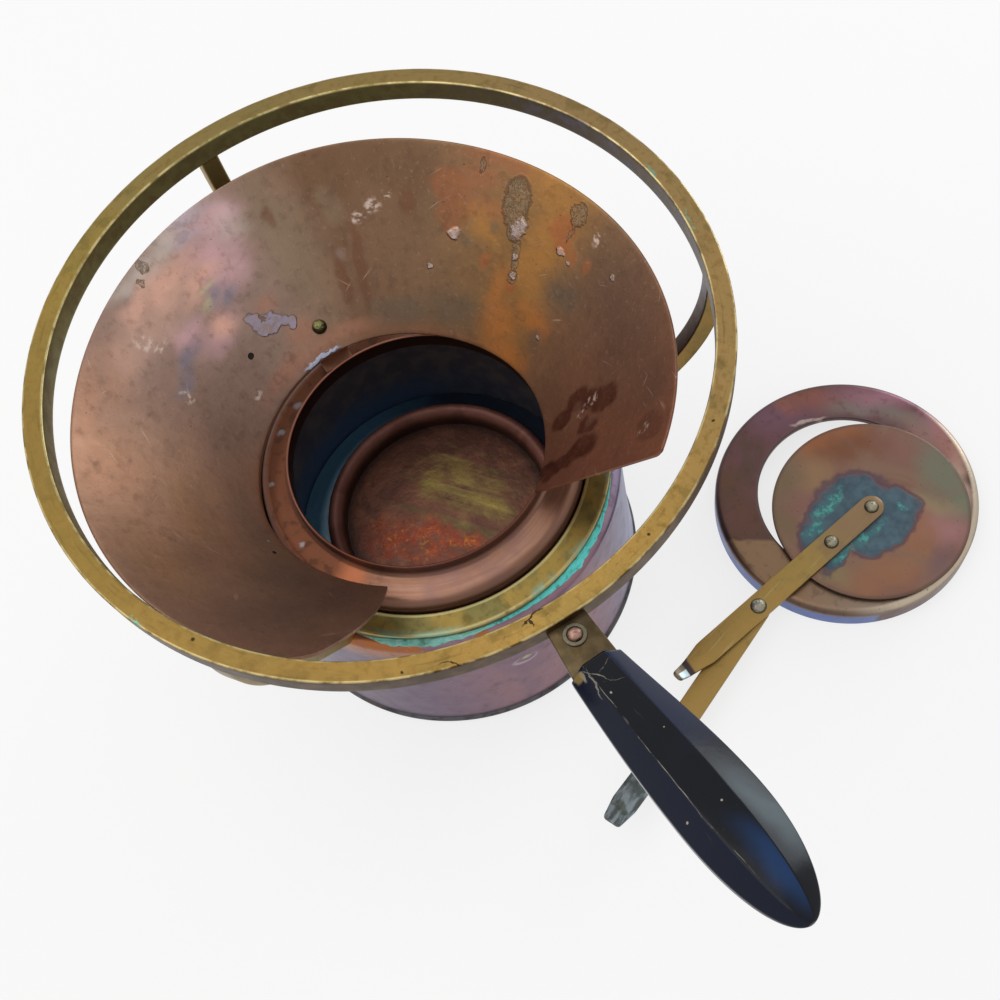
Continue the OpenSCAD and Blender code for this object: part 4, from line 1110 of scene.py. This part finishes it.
def grip_black(tones, handle):
    """Grip: glossy blue-black, with painted blue reflections on its left bevel and towards its tip, a
    painted grey highlight on the swell and a painted navy reflection on its right bevel, a thin worn line
    along one ridge, fine cracks by the bracket and a few specks. The marks lie in the grip's own frame."""
    f = new_finish("grip_black")
    laid = f.node("Mapping", {"vector_type": "TEXTURE"},
                  {"Vector": f.here(), "Location": (handle.start, 0, handle.height),
                   "Rotation": (0, -handle.rise, handle.turn)})
    along, across, up = f.axes(laid)
    plane = f.join(along, across)
    cloud = f.noise(60, 3)
    fine = f.noise(500, 4)
    f.colour = f.mix(tones.black, "10131f", cloud.between(0.45, 0.7) * 0.6)
    nx, ny, _ = f.axes(f.facing())
    leaning = nx * (0 - math.sin(handle.turn)) + ny * math.cos(handle.turn)
    # Painted reflections: blue on the left bevel by the neck, navy on the right bevel.
    bevel = leaning.between(0.2, 0.4) * up.between(-0.002, 0.0)
    f.over("1a2340", bevel * along.between(0.05, 0.03) * 0.8)
    f.over("10182c", leaning.between(-0.2, -0.4) * 0.7)
    # Painted grey highlight on the swell of the left bevel.
    swell = f.spots(f.warped(plane, 60, 0.008), [(68, 9, 12, 3, 4)], 0.8)
    f.over("4c5c62", swell * bevel * 0.72)
    # Painted blue reflection on the top towards the tip.
    tip = f.spots(f.warped(plane, 60, 0.006), [(82, 2.2, 12, 3.4, 6)], 0.8)
    f.over("1b3862", tip * leaning.between(0.3, 0.14) * up.between(0.0, 0.002) * 0.85)
    line = f.spots(f.warped(plane, 90, 0.0012), [
        (14, -3.9, 12, 0.1, -1), (44, -4.7, 20, 0.09, -1), (70, -4.4, 9, 0.08, 3)], 0.5)
    line = line * (f.noise(220, 4).between(0.42, 0.6) * 0.6 + f.spots(plane, [(50, -4.7, 7, 1)], 0.5) * 0.4)
    crack = f.spots(f.warped(plane, 260, 0.0026), [
        (6, -2.4, 4.6, 0.13, 30), (8, -4.2, 5, 0.18, -8), (11, 0.6, 2.6, 0.1, 60), (3, -5.4, 2.2, 0.5),
        (5, 1.2, 2.6, 0.1, -60)], 0.4)
    crack = crack * fine.between(0.34, 0.48) * up.between(0.0, 0.003)
    speck = f.spots(plane, [
        (14, -2.4, 0.4, 0.3), (60, 1.4, 0.3, 0.3), (58, -8.4, 0.34, 0.3), (33, 2.4, 0.2, 0.2)], 0.4)
    scratch = f.stretched(520, 9, 3, plane).between(0.69, 0.76) * 0.22
    dust = f.noise(1500, 2).between(0.72, 0.78) * 0.25
    worn = line | (crack * 0.6) | speck
    f.over("b4ae9e", worn * 0.8)
    f.over("5a5f68", scratch | dust)
    rust = f.spots(f.warped(plane, 300, 0.003), [(2.0, -6.4, 1.8, 1.4)], 0.4)
    f.over("8a7448", rust * 0.8)
    return f.surface(0.12 + cloud * 0.12 + (scratch | dust) * 0.5 + worn * 0.4, 0.0,
                     cloud * 0.5 + fine * 0.05 - crack * 0.4, 0.0003, {"Specular IOR Level": 0.16})


# Operators: one for each group of pieces

class BURNER_OT_ring_and_legs(bpy.types.Operator):
    """Makes the trivet ring and the three bent legs under it"""
    bl_idname = "burner.ring_and_legs"
    bl_label = "Ring and Legs"

    def execute(self, context):
        kit = context.scene.burner_stand
        s = kit.stand
        low, high = BOX["trivet_ring"]
        inner = high.x - s.ring_width
        outline = filled(band(inner, high.x, low.z, high.z, s.ring_edge), spacing=1.2 * MM)
        ring = turned(outline, steps=384)
        piece("trivet_ring_turned", ring, ring_brass(kit.tones, s), "stand", ["trivet_ring"])
        finish = leg_brass(kit.tones)
        bar = self.bar(s, inner, low.z)
        angles = {"leg_rear": s.rear_angle, "leg_left": s.left_angle, "leg_right": s.right_angle}
        for node, angle in angles.items():
            piece(node + "_bar", placed(bar, spin(angle, "Z")), finish, "stand", [node],
                  round_rows=False)
        for node in ("leg_pins", "foot_pins"):
            dress(node, plain_brass(node + "_brass", kit.tones))
        return {"FINISHED"}

    def bar(self, s, ring_in, ring_low):
        """Bar leg in its upright plane: a rounded square carried down an arc under the ring, then along
        the tangent at the arc's end, each point of it as far as the gallery's underside."""
        gallery_low, gallery = BOX["gallery_ring"]
        half = s.leg_thickness / 2
        middle = ring_in + half + 0.1 * MM - s.leg_bend
        foot = np.array([gallery.x + half - middle, gallery.z - ring_low])
        slant = math.atan2(-foot[1], foot[0]) - math.acos(s.leg_bend / np.linalg.norm(foot))
        section = band(-half, half, -s.leg_width / 2, s.leg_width / 2, s.leg_edge)
        a = np.linspace(0, -slant, 28)[:, None]
        reach = s.leg_bend + section[:, 0]
        bent = np.stack([middle + reach * np.cos(a), section[:, 1] + 0 * a, ring_low + reach * np.sin(a)], -1)
        slide = (bent[-1:, :, 2:] - gallery_low.z) / math.cos(slant) * np.linspace(0.1, 1, 10)[:, None, None]
        straight = bent[-1:] - slide * np.array([math.sin(slant), 0, math.cos(slant)])
        return ended(np.concatenate([bent, straight]))


class BURNER_OT_base(bpy.types.Operator):
    """Makes the gallery, the bell of the base, its rolled foot and the verdigris on its ledge"""
    bl_idname = "burner.base"
    bl_label = "Gallery and Base"

    def execute(self, context):
        kit = context.scene.burner_stand
        s = kit.stand
        low, high = BOX["gallery_ring"]
        outline = band(high.x - s.gallery_width, high.x, low.z, high.z, s.gallery_edge)
        gallery = turned(filled(outline, spacing=1.5 * MM), steps=320)
        piece("gallery_turned", gallery, gallery_brass(kit.tones), "stand", ["gallery_ring"])
        piece("base_bell", self.bell(s), base_copper(), "stand", ["base_shell"])
        piece("base_rolled_foot", self.foot(), edge_tin(kit.tones), "stand", ["foot_ring"])
        piece("gallery_verdigris", self.crust(s), verdigris_crust(kit.tones), "stand", [],
              round_rows=False)
        dress("base_floor", dull_copper("base_floor_copper", "7c5a4c", "4c342c"))
        dress("burner_well", dull_copper("burner_well_copper", "5f4038", "2e2220"))
        return {"FINISHED"}

    def bell(self, s):
        """Outside of the bell: a flat ledge, a quarter round shoulder, then a wall that flares as a power
        of the way down. The inside is the same line moved in by the sheet. The wall strays a little
        between its ends."""
        low, high = BOX["base_shell"]
        flare, fade, clear = 1.9, 20 * MM, 4 * MM
        shoulder, bend = high.z - s.base_shoulder, s.base_top - s.base_shoulder
        ledge_in = BOX["gallery_ring"][1].x - s.gallery_width + 0.4 * MM
        a = np.linspace(np.pi / 2, 0, 10)
        t = np.linspace(0.02, 1, 40)

        def line(inset):
            """Ledge, shoulder and wall, moved in."""
            wall = np.stack([s.base_top - inset + (high.x - s.base_top) * t ** flare,
                             shoulder - (shoulder - low.z) * t], 1)
            return np.concatenate([level(ledge_in, bend - 0.5 * MM, high.z - inset, 8),
                                   arc(bend, shoulder, s.base_shoulder - inset, a), wall])

        grid = turned(np.concatenate([line(0), line(s.sheet)[::-1]]), steps=320)
        x, y, z = np.moveaxis(grid, -1, 0)
        stray = ripple(np.arctan2(y, x), z / fade, seed=11, pace=1.6) * 0.12 * MM
        stray *= np.clip((high.z - clear - z) / fade, 0, 1) * np.clip((z - low.z) / fade, 0, 1)
        grid[..., :2] *= 1 + (stray / np.hypot(x, y))[..., None]
        return grid

    def foot(self):
        """Rolled edge: a ring of round section."""
        low, high = BOX["foot_ring"]
        r = (high.z - low.z) / 2
        a = np.linspace(0, 2 * np.pi, 24, endpoint=False)
        return turned(arc(high.x - r, low.z + r, r, a), steps=320)

    def crust(self, s):
        """Crust along the gallery's outer foot: a quarter ellipse whose width and height swell and shrink
        along the arc, with lumps; it dies out at both ends."""
        low, high = BOX["gallery_ring"]
        wall, ledge = high.x - 0.2 * MM, low.z - 0.1 * MM
        first, last = -50, 56
        degrees = np.linspace(first, last, 420)[:, None]
        a = np.radians(degrees)
        t = np.linspace(0, np.pi / 2, 14)
        body = 0.85 * np.exp(-((degrees + 30) / 15) ** 2) + np.exp(-((degrees - 20) / 17) ** 2) + 0.22
        fade = np.clip((degrees - first) / 8, 0, 1) * np.clip((last - degrees) / 12, 0, 1)
        lumps = 1 + 0.28 * ripple(a * 9, t[None] * 2 + 0 * a, seed=3, waves=14, pace=5.0)
        swell = 0.8 + 0.2 * ripple(a * 3, 0 * a, seed=8)
        wide = s.crust_width * np.clip(body, 0, 1.05) * fade * lumps * swell
        r = wall + wide * np.cos(t)
        h = ledge + 0.62 * wide * np.sin(t) + 0.05 * MM
        upper = np.stack([r * np.cos(a), r * np.sin(a), h], -1)
        corner = np.stack([wall * np.cos(a), wall * np.sin(a), ledge + 0 * a], -1)
        return ended(np.concatenate([upper, corner], 1))


class BURNER_OT_burner(bpy.types.Operator):
    """Makes the burner: its pot, its top with the collar, and the pressed fuel pan"""
    bl_idname = "burner.burner"
    bl_label = "Burner"

    def execute(self, context):
        kit = context.scene.burner_stand
        s, sheet = kit.burner, kit.stand.sheet
        top = turned(self.top(s, sheet), steps=320)
        piece("burner_pot_spun", turned(self.pot(sheet)), pot_copper(kit.tones), "burner_unit",
              ["burner_pot"], round_columns=False)
        piece("burner_top_spun", top, flange_copper(s), "burner_unit", ["burner_top"])
        piece("fuel_pan_pressed", self.pan(s, sheet), pan_copper(s), "burner_unit", ["fuel_pan"],
              round_columns=False)
        return {"FINISHED"}

    def pot(self, sheet):
        """Pot: a floor and an upright wall of one sheet, with eased edges."""
        low, high = BOX["burner_pot"]
        inner, floor = high.x - sheet, low.z + sheet
        corners = np.array([[high.x, low.z], [high.x, high.z], [inner, high.z], [inner, floor]])
        return np.concatenate([[[0, low.z]], eased(corners, cut=0.4 * MM, steps=3), [[0, floor]]])

    def top(self, s, sheet):
        """Flange and collar: a quarter round outer shoulder, a gently rising flange, a hollow curve up
        into the collar and a rounded lip; the inside is the same line moved in by the sheet."""
        low, high = BOX["burner_top"]
        r, curl, rise, dip = 4 * MM, 2.2 * MM, 1 * MM, 0.4 * MM
        a = np.linspace(0, np.pi / 2, 10)
        mid = s.flange_top + rise
        hollow = arc(s.collar + curl, mid + curl, curl, np.linspace(-np.pi / 2, -np.pi, 8))
        hollow[:, 1] -= dip * np.cos(np.linspace(0, np.pi / 2, 8))
        lip = arc(s.collar - sheet / 2, high.z - sheet / 2, sheet / 2, np.linspace(0, np.pi, 8))
        outside = [[[high.x, low.z]], arc(high.x - r, s.flange_top - r, r, a), hollow, lip]
        inside = [[[s.collar - sheet, mid - sheet]], arc(high.x - r, s.flange_top - r, r - sheet, a)[::-1],
                  [[high.x - sheet, low.z]]]
        return filled(np.concatenate(outside + inside), spacing=2.5 * MM)

    def pan(self, s, sheet):
        """Fuel pan: a flat floor with slight hollows, a half oval bead and a flat rim; below, the same
        line moved down by the sheet. Floor and bead sit a little off the axis."""
        low, high = BOX["fuel_pan"]
        bead = s.pan_bead / 2
        floor, middle = high.z - bead, s.pan_floor + bead
        a = np.linspace(np.pi, 0, 20)
        upper = [level(0, s.pan_floor - 0.0006, floor, 30), arc(middle, floor, bead, a, s.bead_rise),
                 [[middle + bead + 0.0003, low.z + sheet], [high.x, low.z + sheet]]]
        lower = [[[high.x, low.z], [middle + bead - sheet, low.z]],
                 arc(middle, floor, bead - sheet, a[::-1], s.bead_rise - sheet),
                 [[s.pan_floor - 0.001, floor - sheet], [0, floor - sheet]]]
        grid = turned(np.concatenate(upper + lower))
        away = np.hypot(grid[..., 0], grid[..., 1])
        wave, clear, fade = 12 * MM, 2 * MM, 8 * MM
        stray = ripple(grid[..., 0] / wave, grid[..., 1] / wave, seed=21, waves=12, pace=0.5) * 0.16 * MM
        grid[..., 2] += stray * np.clip((s.pan_floor - clear - away) / fade, 0, 1)
        aside = s.bead_shift * np.clip((high.x - away) / (high.x - middle - bead), 0, 1)
        grid[..., :2] += aside[..., None] * [math.cos(BEAD_HEADING), math.sin(BEAD_HEADING)]
        return grid


class BURNER_OT_shield(bpy.types.Operator):
    """Makes the wind shield with its rivet and dresses its tab"""
    bl_idname = "burner.shield"
    bl_label = "Wind Shield"

    def execute(self, context):
        kit = context.scene.burner_stand
        s = kit.shield
        grid, degrees, run = self.sheet(s, kit.stand.sheet)
        piece("wind_shield_sheet", grid, shield_copper(s), "burner_unit", ["wind_shield"],
              round_rows=False, tints=shield_tint(degrees, run))
        slope, _ = shield_slope(s)
        out = s.rivet_run * math.cos(slope)
        seat = (shift(s.axis_x - s.mouth - out, s.axis_y, s.low + out * math.tan(slope)), spin(slope, "Y"))
        metal = rivet_metal("shield_rivet_brass", "7c7850", "3c3c20")
        rivet("shield_rivet_head", (2.8, 1.75, 3), seat, metal, "burner_unit", ["shield_rivet"])
        dress("shield_tab", dull_copper("shield_tab_copper", "a4765c", "7c5848"))
        return {"FINISHED"}

    def sheet(self, s, thick):
        """Part of a cone: across it a thin loop, up the slope on one face and down on the other, with
        round edges; round it from the left end to the right end, which leans. Returns its points, with
        their degrees from the rivet and their millimetres up the slope."""
        slope, whole = shield_slope(s)
        around, e = 560, thick / 2
        corner = e * (1 - np.cos(np.linspace(0, np.pi / 2, 5)))
        run = np.concatenate([corner[:-1], np.linspace(e, whole - e, 62), whole - corner[-2::-1]])
        near = np.minimum(np.minimum(run, whole - run), e)
        half = np.sqrt(np.maximum(e ** 2 - (e - near) ** 2, 0))
        loop_run = np.concatenate([run, run[-2:0:-1]])
        loop_half = np.concatenate([half, -half[-2:0:-1]])
        up = loop_run / whole
        share = np.concatenate([[0], np.linspace(0, 1, around), [1]])[:, None]
        flat = np.concatenate([[0], np.ones(around), [0]])[:, None]
        stop = s.right_end + s.lean * (1 - up) - self.clipped(loop_run, whole, s.corner) / s.rim
        stop = stop + s.bulge * np.sin(np.pi * up ** 0.85)
        start = s.left_end + self.clipped(loop_run, whole, s.left_corner) / s.rim
        a = start + share * (stop - start)
        stray = ripple(a, loop_run / (30 * MM) + 0 * a, seed=31, waves=10, pace=1.2) * s.waviness
        off = loop_half * flat - e + stray
        r = s.mouth + loop_run * math.cos(slope) - off * math.sin(slope) + self.bent(a - np.pi, up)
        z = s.low + loop_run * math.sin(slope) + off * math.cos(slope)
        grid = np.stack([s.axis_x + r * np.cos(a), s.axis_y + r * np.sin(a), z], -1)
        return grid, np.degrees(a) - 180, loop_run / MM + 0 * a

    def clipped(self, run, whole, corner):
        """How far a rounded outer corner draws an end back at each run: a quarter circle at the rim."""
        past = np.clip(run - whole + corner, 0, corner)
        return corner - np.sqrt(corner ** 2 - past ** 2)

    def bent(self, turned_by, share):
        """How far the bent sheet is out of round: three waves round the rim and one round the mouth,
        blended along the slope."""
        rim = 0.55 * np.cos(2 * turned_by) + 0.75 * np.cos(3.4 * turned_by + 0.25) - np.cos(turned_by - 0.26)
        mouth = 0.75 * np.cos(3.9 * turned_by + 0.15)
        return (rim * share + mouth * (1 - share)) * MM


class BURNER_OT_handle(bpy.types.Operator):
    """Makes the handle: bracket plate, washer, rivet and black grip"""
    bl_idname = "burner.handle"
    bl_label = "Handle"

    def execute(self, context):
        kit = context.scene.burner_stand
        s = kit.handle
        brass = plain_brass("bracket_brass", kit.tones, shine=0.5, grey=0.2, dirt=0.85)
        grip = placed(self.grip(s), shift(s.start, 0, s.height), spin(s.turn, "Z"), spin(-s.rise, "Y"))
        piece("handle_grip_moulded", grip, grip_black(kit.tones, s), "stand", ["handle_grip"],
              round_rows=False, sharp=60)
        low, high = BOX["bracket_washer"]
        piece("bracket_plate", self.plate(s, low.z), brass, "stand", ["handle_bracket"],
              round_rows=False)
        dress("ring_lug", brass)
        dress("tang_pin", brass)
        x, y = (low.x + high.x) / 2, (low.y + high.y) / 2
        outline = band(1.2 * MM, (high.x - low.x) / 2, low.z, high.z, cut=0.25 * MM, steps=3)
        washer = turned(outline, steps=48) + [x, y, 0]
        metal = rivet_metal("washer_metal", "625c4c", "2e2c24")
        piece("bracket_washer_ring", washer, metal, "stand", ["bracket_washer"])
        rivet("bracket_rivet_head", (2.5, 1.6, 4), [shift(x, y, high.z)],
              rivet_metal("bracket_rivet_copper", "9c7a6c", "463228"), "stand", ["bracket_rivet"])
        return {"FINISHED"}

    def plate(self, s, washer_low):
        """Bracket: a flat strap from the ring to just inside the grip, a little wider at the grip."""
        ring, gap = BOX["trivet_ring"][1].x, 0.03 * MM
        run = np.concatenate([[ring - 0.4 * MM, ring], np.linspace(ring + 0.002, s.start - 0.6 * MM, 12),
                              [s.start + 0.001, s.start + 0.004]])
        half = np.interp(run, [ring, s.start - 0.001], [6.5 * MM, 7.5 * MM])
        path = np.stack([run, np.full(len(run), washer_low - s.plate - gap)], 1)
        return strap(path, half, s.plate, edge=0.5 * MM)

    def grip(self, s):
        """Grip along X: eight-cornered sections with eased corners. The half width grows as a sine to its
        peak and falls to the tip as a rounded curve; the left side swells beyond it as a sine."""
        t = 1 - (1 - np.linspace(0, 1, 120)) ** 1.6
        peak, flat, flatness = 0.58, 0.44, 0.62
        rising = (s.neck + (s.width - s.neck) * np.sin(np.pi / 2 * np.minimum(t / peak, 1))) / 2
        falling = s.width / 2 * np.sqrt(1 - (np.maximum(t - peak, 0) / (1.002 - peak)) ** 2.3)
        w = np.where(t < peak, rising, falling)
        h = flatness * w
        side = 0.22 * h
        left = w + s.swell * np.sin(np.pi * t ** 1.5)
        corners = np.stack([np.stack([flat * w, -flat * w, -w, -w, -flat * w, flat * w, left, left], 1),
                            np.stack([h, h, side, -side, -h, -h, -side, side], 1)], -1)
        section = eased(corners, s.corner)
        x = np.broadcast_to((s.length * t)[:, None], section.shape[:2])
        grid = np.stack([x, section[..., 0], section[..., 1]], -1)
        face = grid[:1] * [1, 0.94, 0.92]
        return ended(np.concatenate([face, grid + [0.4 * MM, 0, 0] * (grid[..., :1] == 0)]))


class BURNER_OT_regulator(bpy.types.Operator):
    """Makes the regulator lid: cap, arm, washer and pivot rivet"""
    bl_idname = "burner.regulator"
    bl_label = "Regulator"

    def execute(self, context):
        kit = context.scene.burner_stand
        s = kit.regulator
        home = at_pivot(s)
        centre = placed(np.array([s.reach, 0, 0]), *home)
        cap = turned(self.cap(s, BOX["regulator_cap"][1].z, kit.stand.sheet), steps=320)
        piece("regulator_cap_spun", cap + [*centre[:2], 0], cap_copper(centre), "regulator",
              ["regulator_cap"])
        laid = (*home, spin(s.arm_turn, "Z"))
        tail = placed(np.array([-s.arm_reach, 0, 0]), *laid)
        brass = strap_brass("arm_brass", kit.tones, tail[1] + 30 * MM)
        piece("regulator_arm_strap", placed(self.arm(s), *laid), brass, "regulator",
              ["regulator_arm"], round_rows=False)
        dress("arm_rivet", plain_brass("arm_rivet_brass", kit.tones, shine=0.5, grey=0.4))
        dress("pivot_washer", plain_brass("pivot_washer_brass", kit.tones, shine=0.3, grey=0.3))
        seat = BOX["shutter_lever"][0].z + 1.82 * MM
        rivet("pivot_rivet_head", (3.4, 1.95, 4), (*home, shift(0, 0, seat)),
              rivet_metal("pivot_rivet_metal", "8e8a7a", "3a352c"), "regulator", ["pivot_rivet"])
        return {"FINISHED"}

    def arm(self, s):
        """Arm along X: a strap that narrows at both ends. Beyond a soft bend it rises, and its far end
        has round corners."""
        end, bend, soft, lean = s.arm_reach, 80 * MM, 3.5 * MM, math.radians(16)
        near, cut, corner = 16 * MM, s.strap / 2, 1.1 * MM
        a = np.linspace(0, np.pi / 2, 8)[1:]
        x = np.concatenate([[near, 15.5 * MM], np.linspace(15 * MM, -bend + 4 * MM, 30),
                            -bend + np.linspace(3.5, -3.5, 9) * MM,
                            np.linspace(-bend - 4 * MM, corner - end, 24), corner - end - corner * np.sin(a)])
        easing = np.clip((-bend + soft - x) / (2 * soft), 0, 1) ** 2 * soft
        rise = np.where(x < -bend - soft, np.maximum(-bend - x, 0), easing) * math.tan(lean)
        half = np.interp(x, [-end, 9 * MM - end, 0, near], [s.arm_end / 2, cut, cut, 2.6 * MM])
        half[-len(a):] -= corner * (1 - np.cos(a))
        path = np.stack([x, BOX["regulator_arm"][0].z + rise], 1)
        return strap(path, half, thickness=1.5 * MM, edge=0.35 * MM)

    def cap(self, s, height, sheet):
        """Cap: a skirt, a generously rounded outer edge, a flat top and a turned-down lip."""
        lip, under = height - 2.6 * MM, height - sheet
        outer = np.array([[s.cap, 0], [s.cap, height], [s.cap_hole, height], [s.cap_hole, lip],
                          [s.cap_hole + sheet, lip], [s.cap_hole + sheet, under], [s.cap - sheet, under],
                          [s.cap - sheet, 0]])
        cuts = np.array([0.3, s.cap_edge / MM, 1.0, 0.3, 0.3, 0.4, 2.4, 0.3])[:, None] * MM
        return filled(eased(outer, cuts, steps=9), spacing=1.5 * MM)


class BURNER_OT_shutter(bpy.types.Operator):
    """Makes the shutter: disc, lever with its finger tab, and two rivets"""
    bl_idname = "burner.shutter"
    bl_label = "Shutter"

    def execute(self, context):
        kit = context.scene.burner_stand
        s = kit.regulator
        home = (*at_pivot(s), spin(-s.shutter_turn, "Z"))
        centre = placed(np.array([s.reach, 0, 0]), *home)
        piece("shutter_disc_sheet", self.disc(s) + [*centre[:2], 0], disc_copper(centre), "shutter",
              ["shutter_disc"], round_columns=False)
        low = BOX["shutter_lever"][0].z
        piece("shutter_lever_strap", placed(self.lever(s, low), *home), strap_brass("lever_brass", kit.tones),
              "shutter", ["shutter_lever"], round_rows=False)
        metal = rivet_metal("lever_rivet_metal", "8e8874", "362e26")
        places = (("lever_rivet_near", 42.6 * MM, ["lever_rivets"]), ("lever_rivet_far", s.reach, []))
        for name, x, nodes in places:
            seat = (*home, shift(x, 0, low + 1.73 * MM))
            rivet(name, (3.1, 1.95, 3), seat, metal, "shutter", nodes)
        return {"FINISHED"}

    def disc(self, s):
        """Disc: a flat sheet with a rounded edge that sinks a little in places."""
        low, high = BOX["shutter_disc"]
        edge = [[s.disc - 0.0001, high.z - 0.0002], [s.disc, (high.z + low.z) / 2], [s.disc - 0.0002, low.z]]
        outline = [level(0, s.disc - 0.0004, high.z, 34), edge, level(s.disc - 0.001, 0, low.z, 10)]
        grid = turned(np.concatenate(outline))
        wave = 16 * MM
        stray = ripple(grid[..., 0] / wave, grid[..., 1] / wave, seed=17, waves=8, pace=0.5) * 0.05 * MM
        grid[..., 2] += np.minimum(stray, 0.0)
        return grid

    def lever(self, s, low):
        """Lever: a strap with a round end over the disc, a tail that tapers, and a tab that curls up
        along an arc and narrows to a tip with round corners."""
        cut, tail, corner = s.strap / 2, s.lever_reach, 1.4 * MM
        a = np.linspace(np.pi / 2, 0, 10)
        x = np.concatenate([s.reach + cut * np.sin(a), np.linspace(s.reach - 0.002, 0.002 - tail, 48)])
        radius = s.finger / s.finger_rise
        curl = s.finger_rise * np.sin(np.linspace(0, np.pi / 2, 22))
        path = np.stack([np.concatenate([x, -tail - radius * np.sin(curl)]),
                         low + np.concatenate([0 * x, radius * (1 - np.cos(curl))])], 1)
        half = np.interp(path[:, 0], [-tail - s.finger, 0.001 - tail, 0.009 - tail],
                         [s.finger_tip / 2, 0.335 * s.strap, cut])
        half[:len(a)] = cut * np.cos(a)
        left_over = radius * (s.finger_rise - curl)
        half[-len(curl):] -= corner - np.sqrt(corner ** 2 - np.clip(corner - left_over, 0, corner) ** 2)
        return strap(path, half, thickness=1.7 * MM, edge=0.35 * MM)


class BURNER_OT_stage(bpy.types.Operator):
    """Sets the pale floor, the soft lights, the sky and the camera of the photograph"""
    bl_idname = "burner.stage"
    bl_label = "Stage"

    def execute(self, context):
        kit = context.scene.burner_stand.stage
        self.floor(kit)
        self.sky(context.scene, kit)
        self.lamp("key_light", (-0.35, -0.55, 1.25), 1.6, kit.key_power, (1.0, 0.985, 0.96))
        self.lamp("fill_light", (-0.3, 1.05, 0.32), 0.6, kit.fill_power, (0.86, 0.93, 1.0))
        self.camera(context.scene, kit)
        context.scene.view_settings.view_transform = "Standard"
        return {"FINISHED"}

    def floor(self, kit):
        """Large square that lights the part as pale paper and looks nearly white itself."""
        far = 2.5
        mesh = bpy.data.meshes.new("floor")
        mesh.from_pydata([(-far, -far, 0), (far, -far, 0), (far, far, 0), (-far, far, 0)], [], [(0, 1, 2, 3)])
        made = bpy.data.objects.new("floor", mesh)
        bpy.context.scene.collection.objects.link(made)
        f = new_finish("floor_pale")
        seen = self.seen(f)
        paper = f.node("BsdfDiffuse", None, {"Color": kit.floor_tone})
        glow = f.node("Emission", None, {"Color": WHITE, "Strength": 1.0})
        shader = f.node("MixShader", None, {0: seen * 0.75, 1: paper, 2: glow})
        f.node("OutputMaterial", None, {"Surface": shader})
        mesh.materials.append(f.owner)

    def seen(self, f):
        """1 for rays that the camera, a mirror or a glass sends, 0 for light."""
        path = f.node("LightPath", out="Is Camera Ray")
        node = path.socket.node
        return path | Value(f, node.outputs["Is Glossy Ray"]) | Value(f, node.outputs["Is Transmission Ray"])

    def sky(self, scene, kit):
        """Even light from all round, behind which the camera sees white."""
        scene.world = bpy.data.worlds.new("studio")
        f = Finish(scene.world)
        light = f.node("Background", None, {"Color": WHITE, "Strength": kit.sky})
        white = f.node("Background", None, {"Color": WHITE, "Strength": 1.0})
        shader = f.node("MixShader", None, {0: self.seen(f), 1: light, 2: white})
        f.node("OutputWorld", None, {"Surface": shader})

    def lamp(self, name, place, width, power, colour):
        """Round soft light at a place, aimed at the part."""
        data = bpy.data.lights.new(name, "AREA")
        data.shape, data.size, data.energy, data.color = "DISK", width, power, colour
        made = bpy.data.objects.new(name, data)
        ahead = Vector((0.03, 0.03, 0.08)) - Vector(place)
        made.matrix_world = Matrix.Translation(place) @ ahead.to_track_quat("-Z", "Y").to_matrix().to_4x4()
        bpy.context.scene.collection.objects.link(made)

    def camera(self, scene, kit):
        """Camera of the photograph, found from the circles of the ring and the burner."""
        data = bpy.data.cameras.new("photo_camera")
        data.lens, data.sensor_width = kit.lens, 36
        data.shift_x, data.shift_y = -0.075, 0.075
        data.clip_start = 0.01
        made = bpy.data.objects.new("photo_camera", data)
        place = (0.233822, -0.042577, 0.480022)
        right = (0.53314, 0.84238, -0.07842)
        up = (-0.75961, 0.51743, 0.39402)
        back = (0.37249, -0.1505, 0.91575)
        made.matrix_world = Matrix((*zip(right, up, back, place), (0, 0, 0, 1)))
        scene.collection.objects.link(made)
        scene.camera = made


class BURNER_PT_panel(bpy.types.Panel):
    """Sidebar panel with one button for each group of pieces and one for the stage"""
    bl_idname = "BURNER_PT_panel"
    bl_label = "Burner Stand"
    bl_space_type = "VIEW_3D"
    bl_region_type = "UI"
    bl_category = "Burner Stand"

    def draw(self, context):
        for operator in OPERATORS:
            self.layout.operator(operator.bl_idname)


OPERATORS = (BURNER_OT_stage, BURNER_OT_ring_and_legs, BURNER_OT_base, BURNER_OT_burner, BURNER_OT_shield,
             BURNER_OT_handle, BURNER_OT_regulator, BURNER_OT_shutter)
CLASSES = (StandSizes, BurnerSizes, ShieldSizes, HandleSizes, RegulatorSizes, Tones, StageSettings, Stand,
           *OPERATORS, BURNER_PT_panel)


def register():
    for kind in CLASSES:
        bpy.utils.register_class(kind)
    bpy.types.Scene.burner_stand = PointerProperty(name="Burner Stand", description="Sizes and finishes",
                                                   type=Stand)


def unregister():
    del bpy.types.Scene.burner_stand
    for kind in reversed(CLASSES):
        bpy.utils.unregister_class(kind)


def main():
    register()
    for operator in OPERATORS:
        group, name = operator.bl_idname.split(".")
        getattr(getattr(bpy.ops, group), name)()


if __name__ == "__main__":
    main()
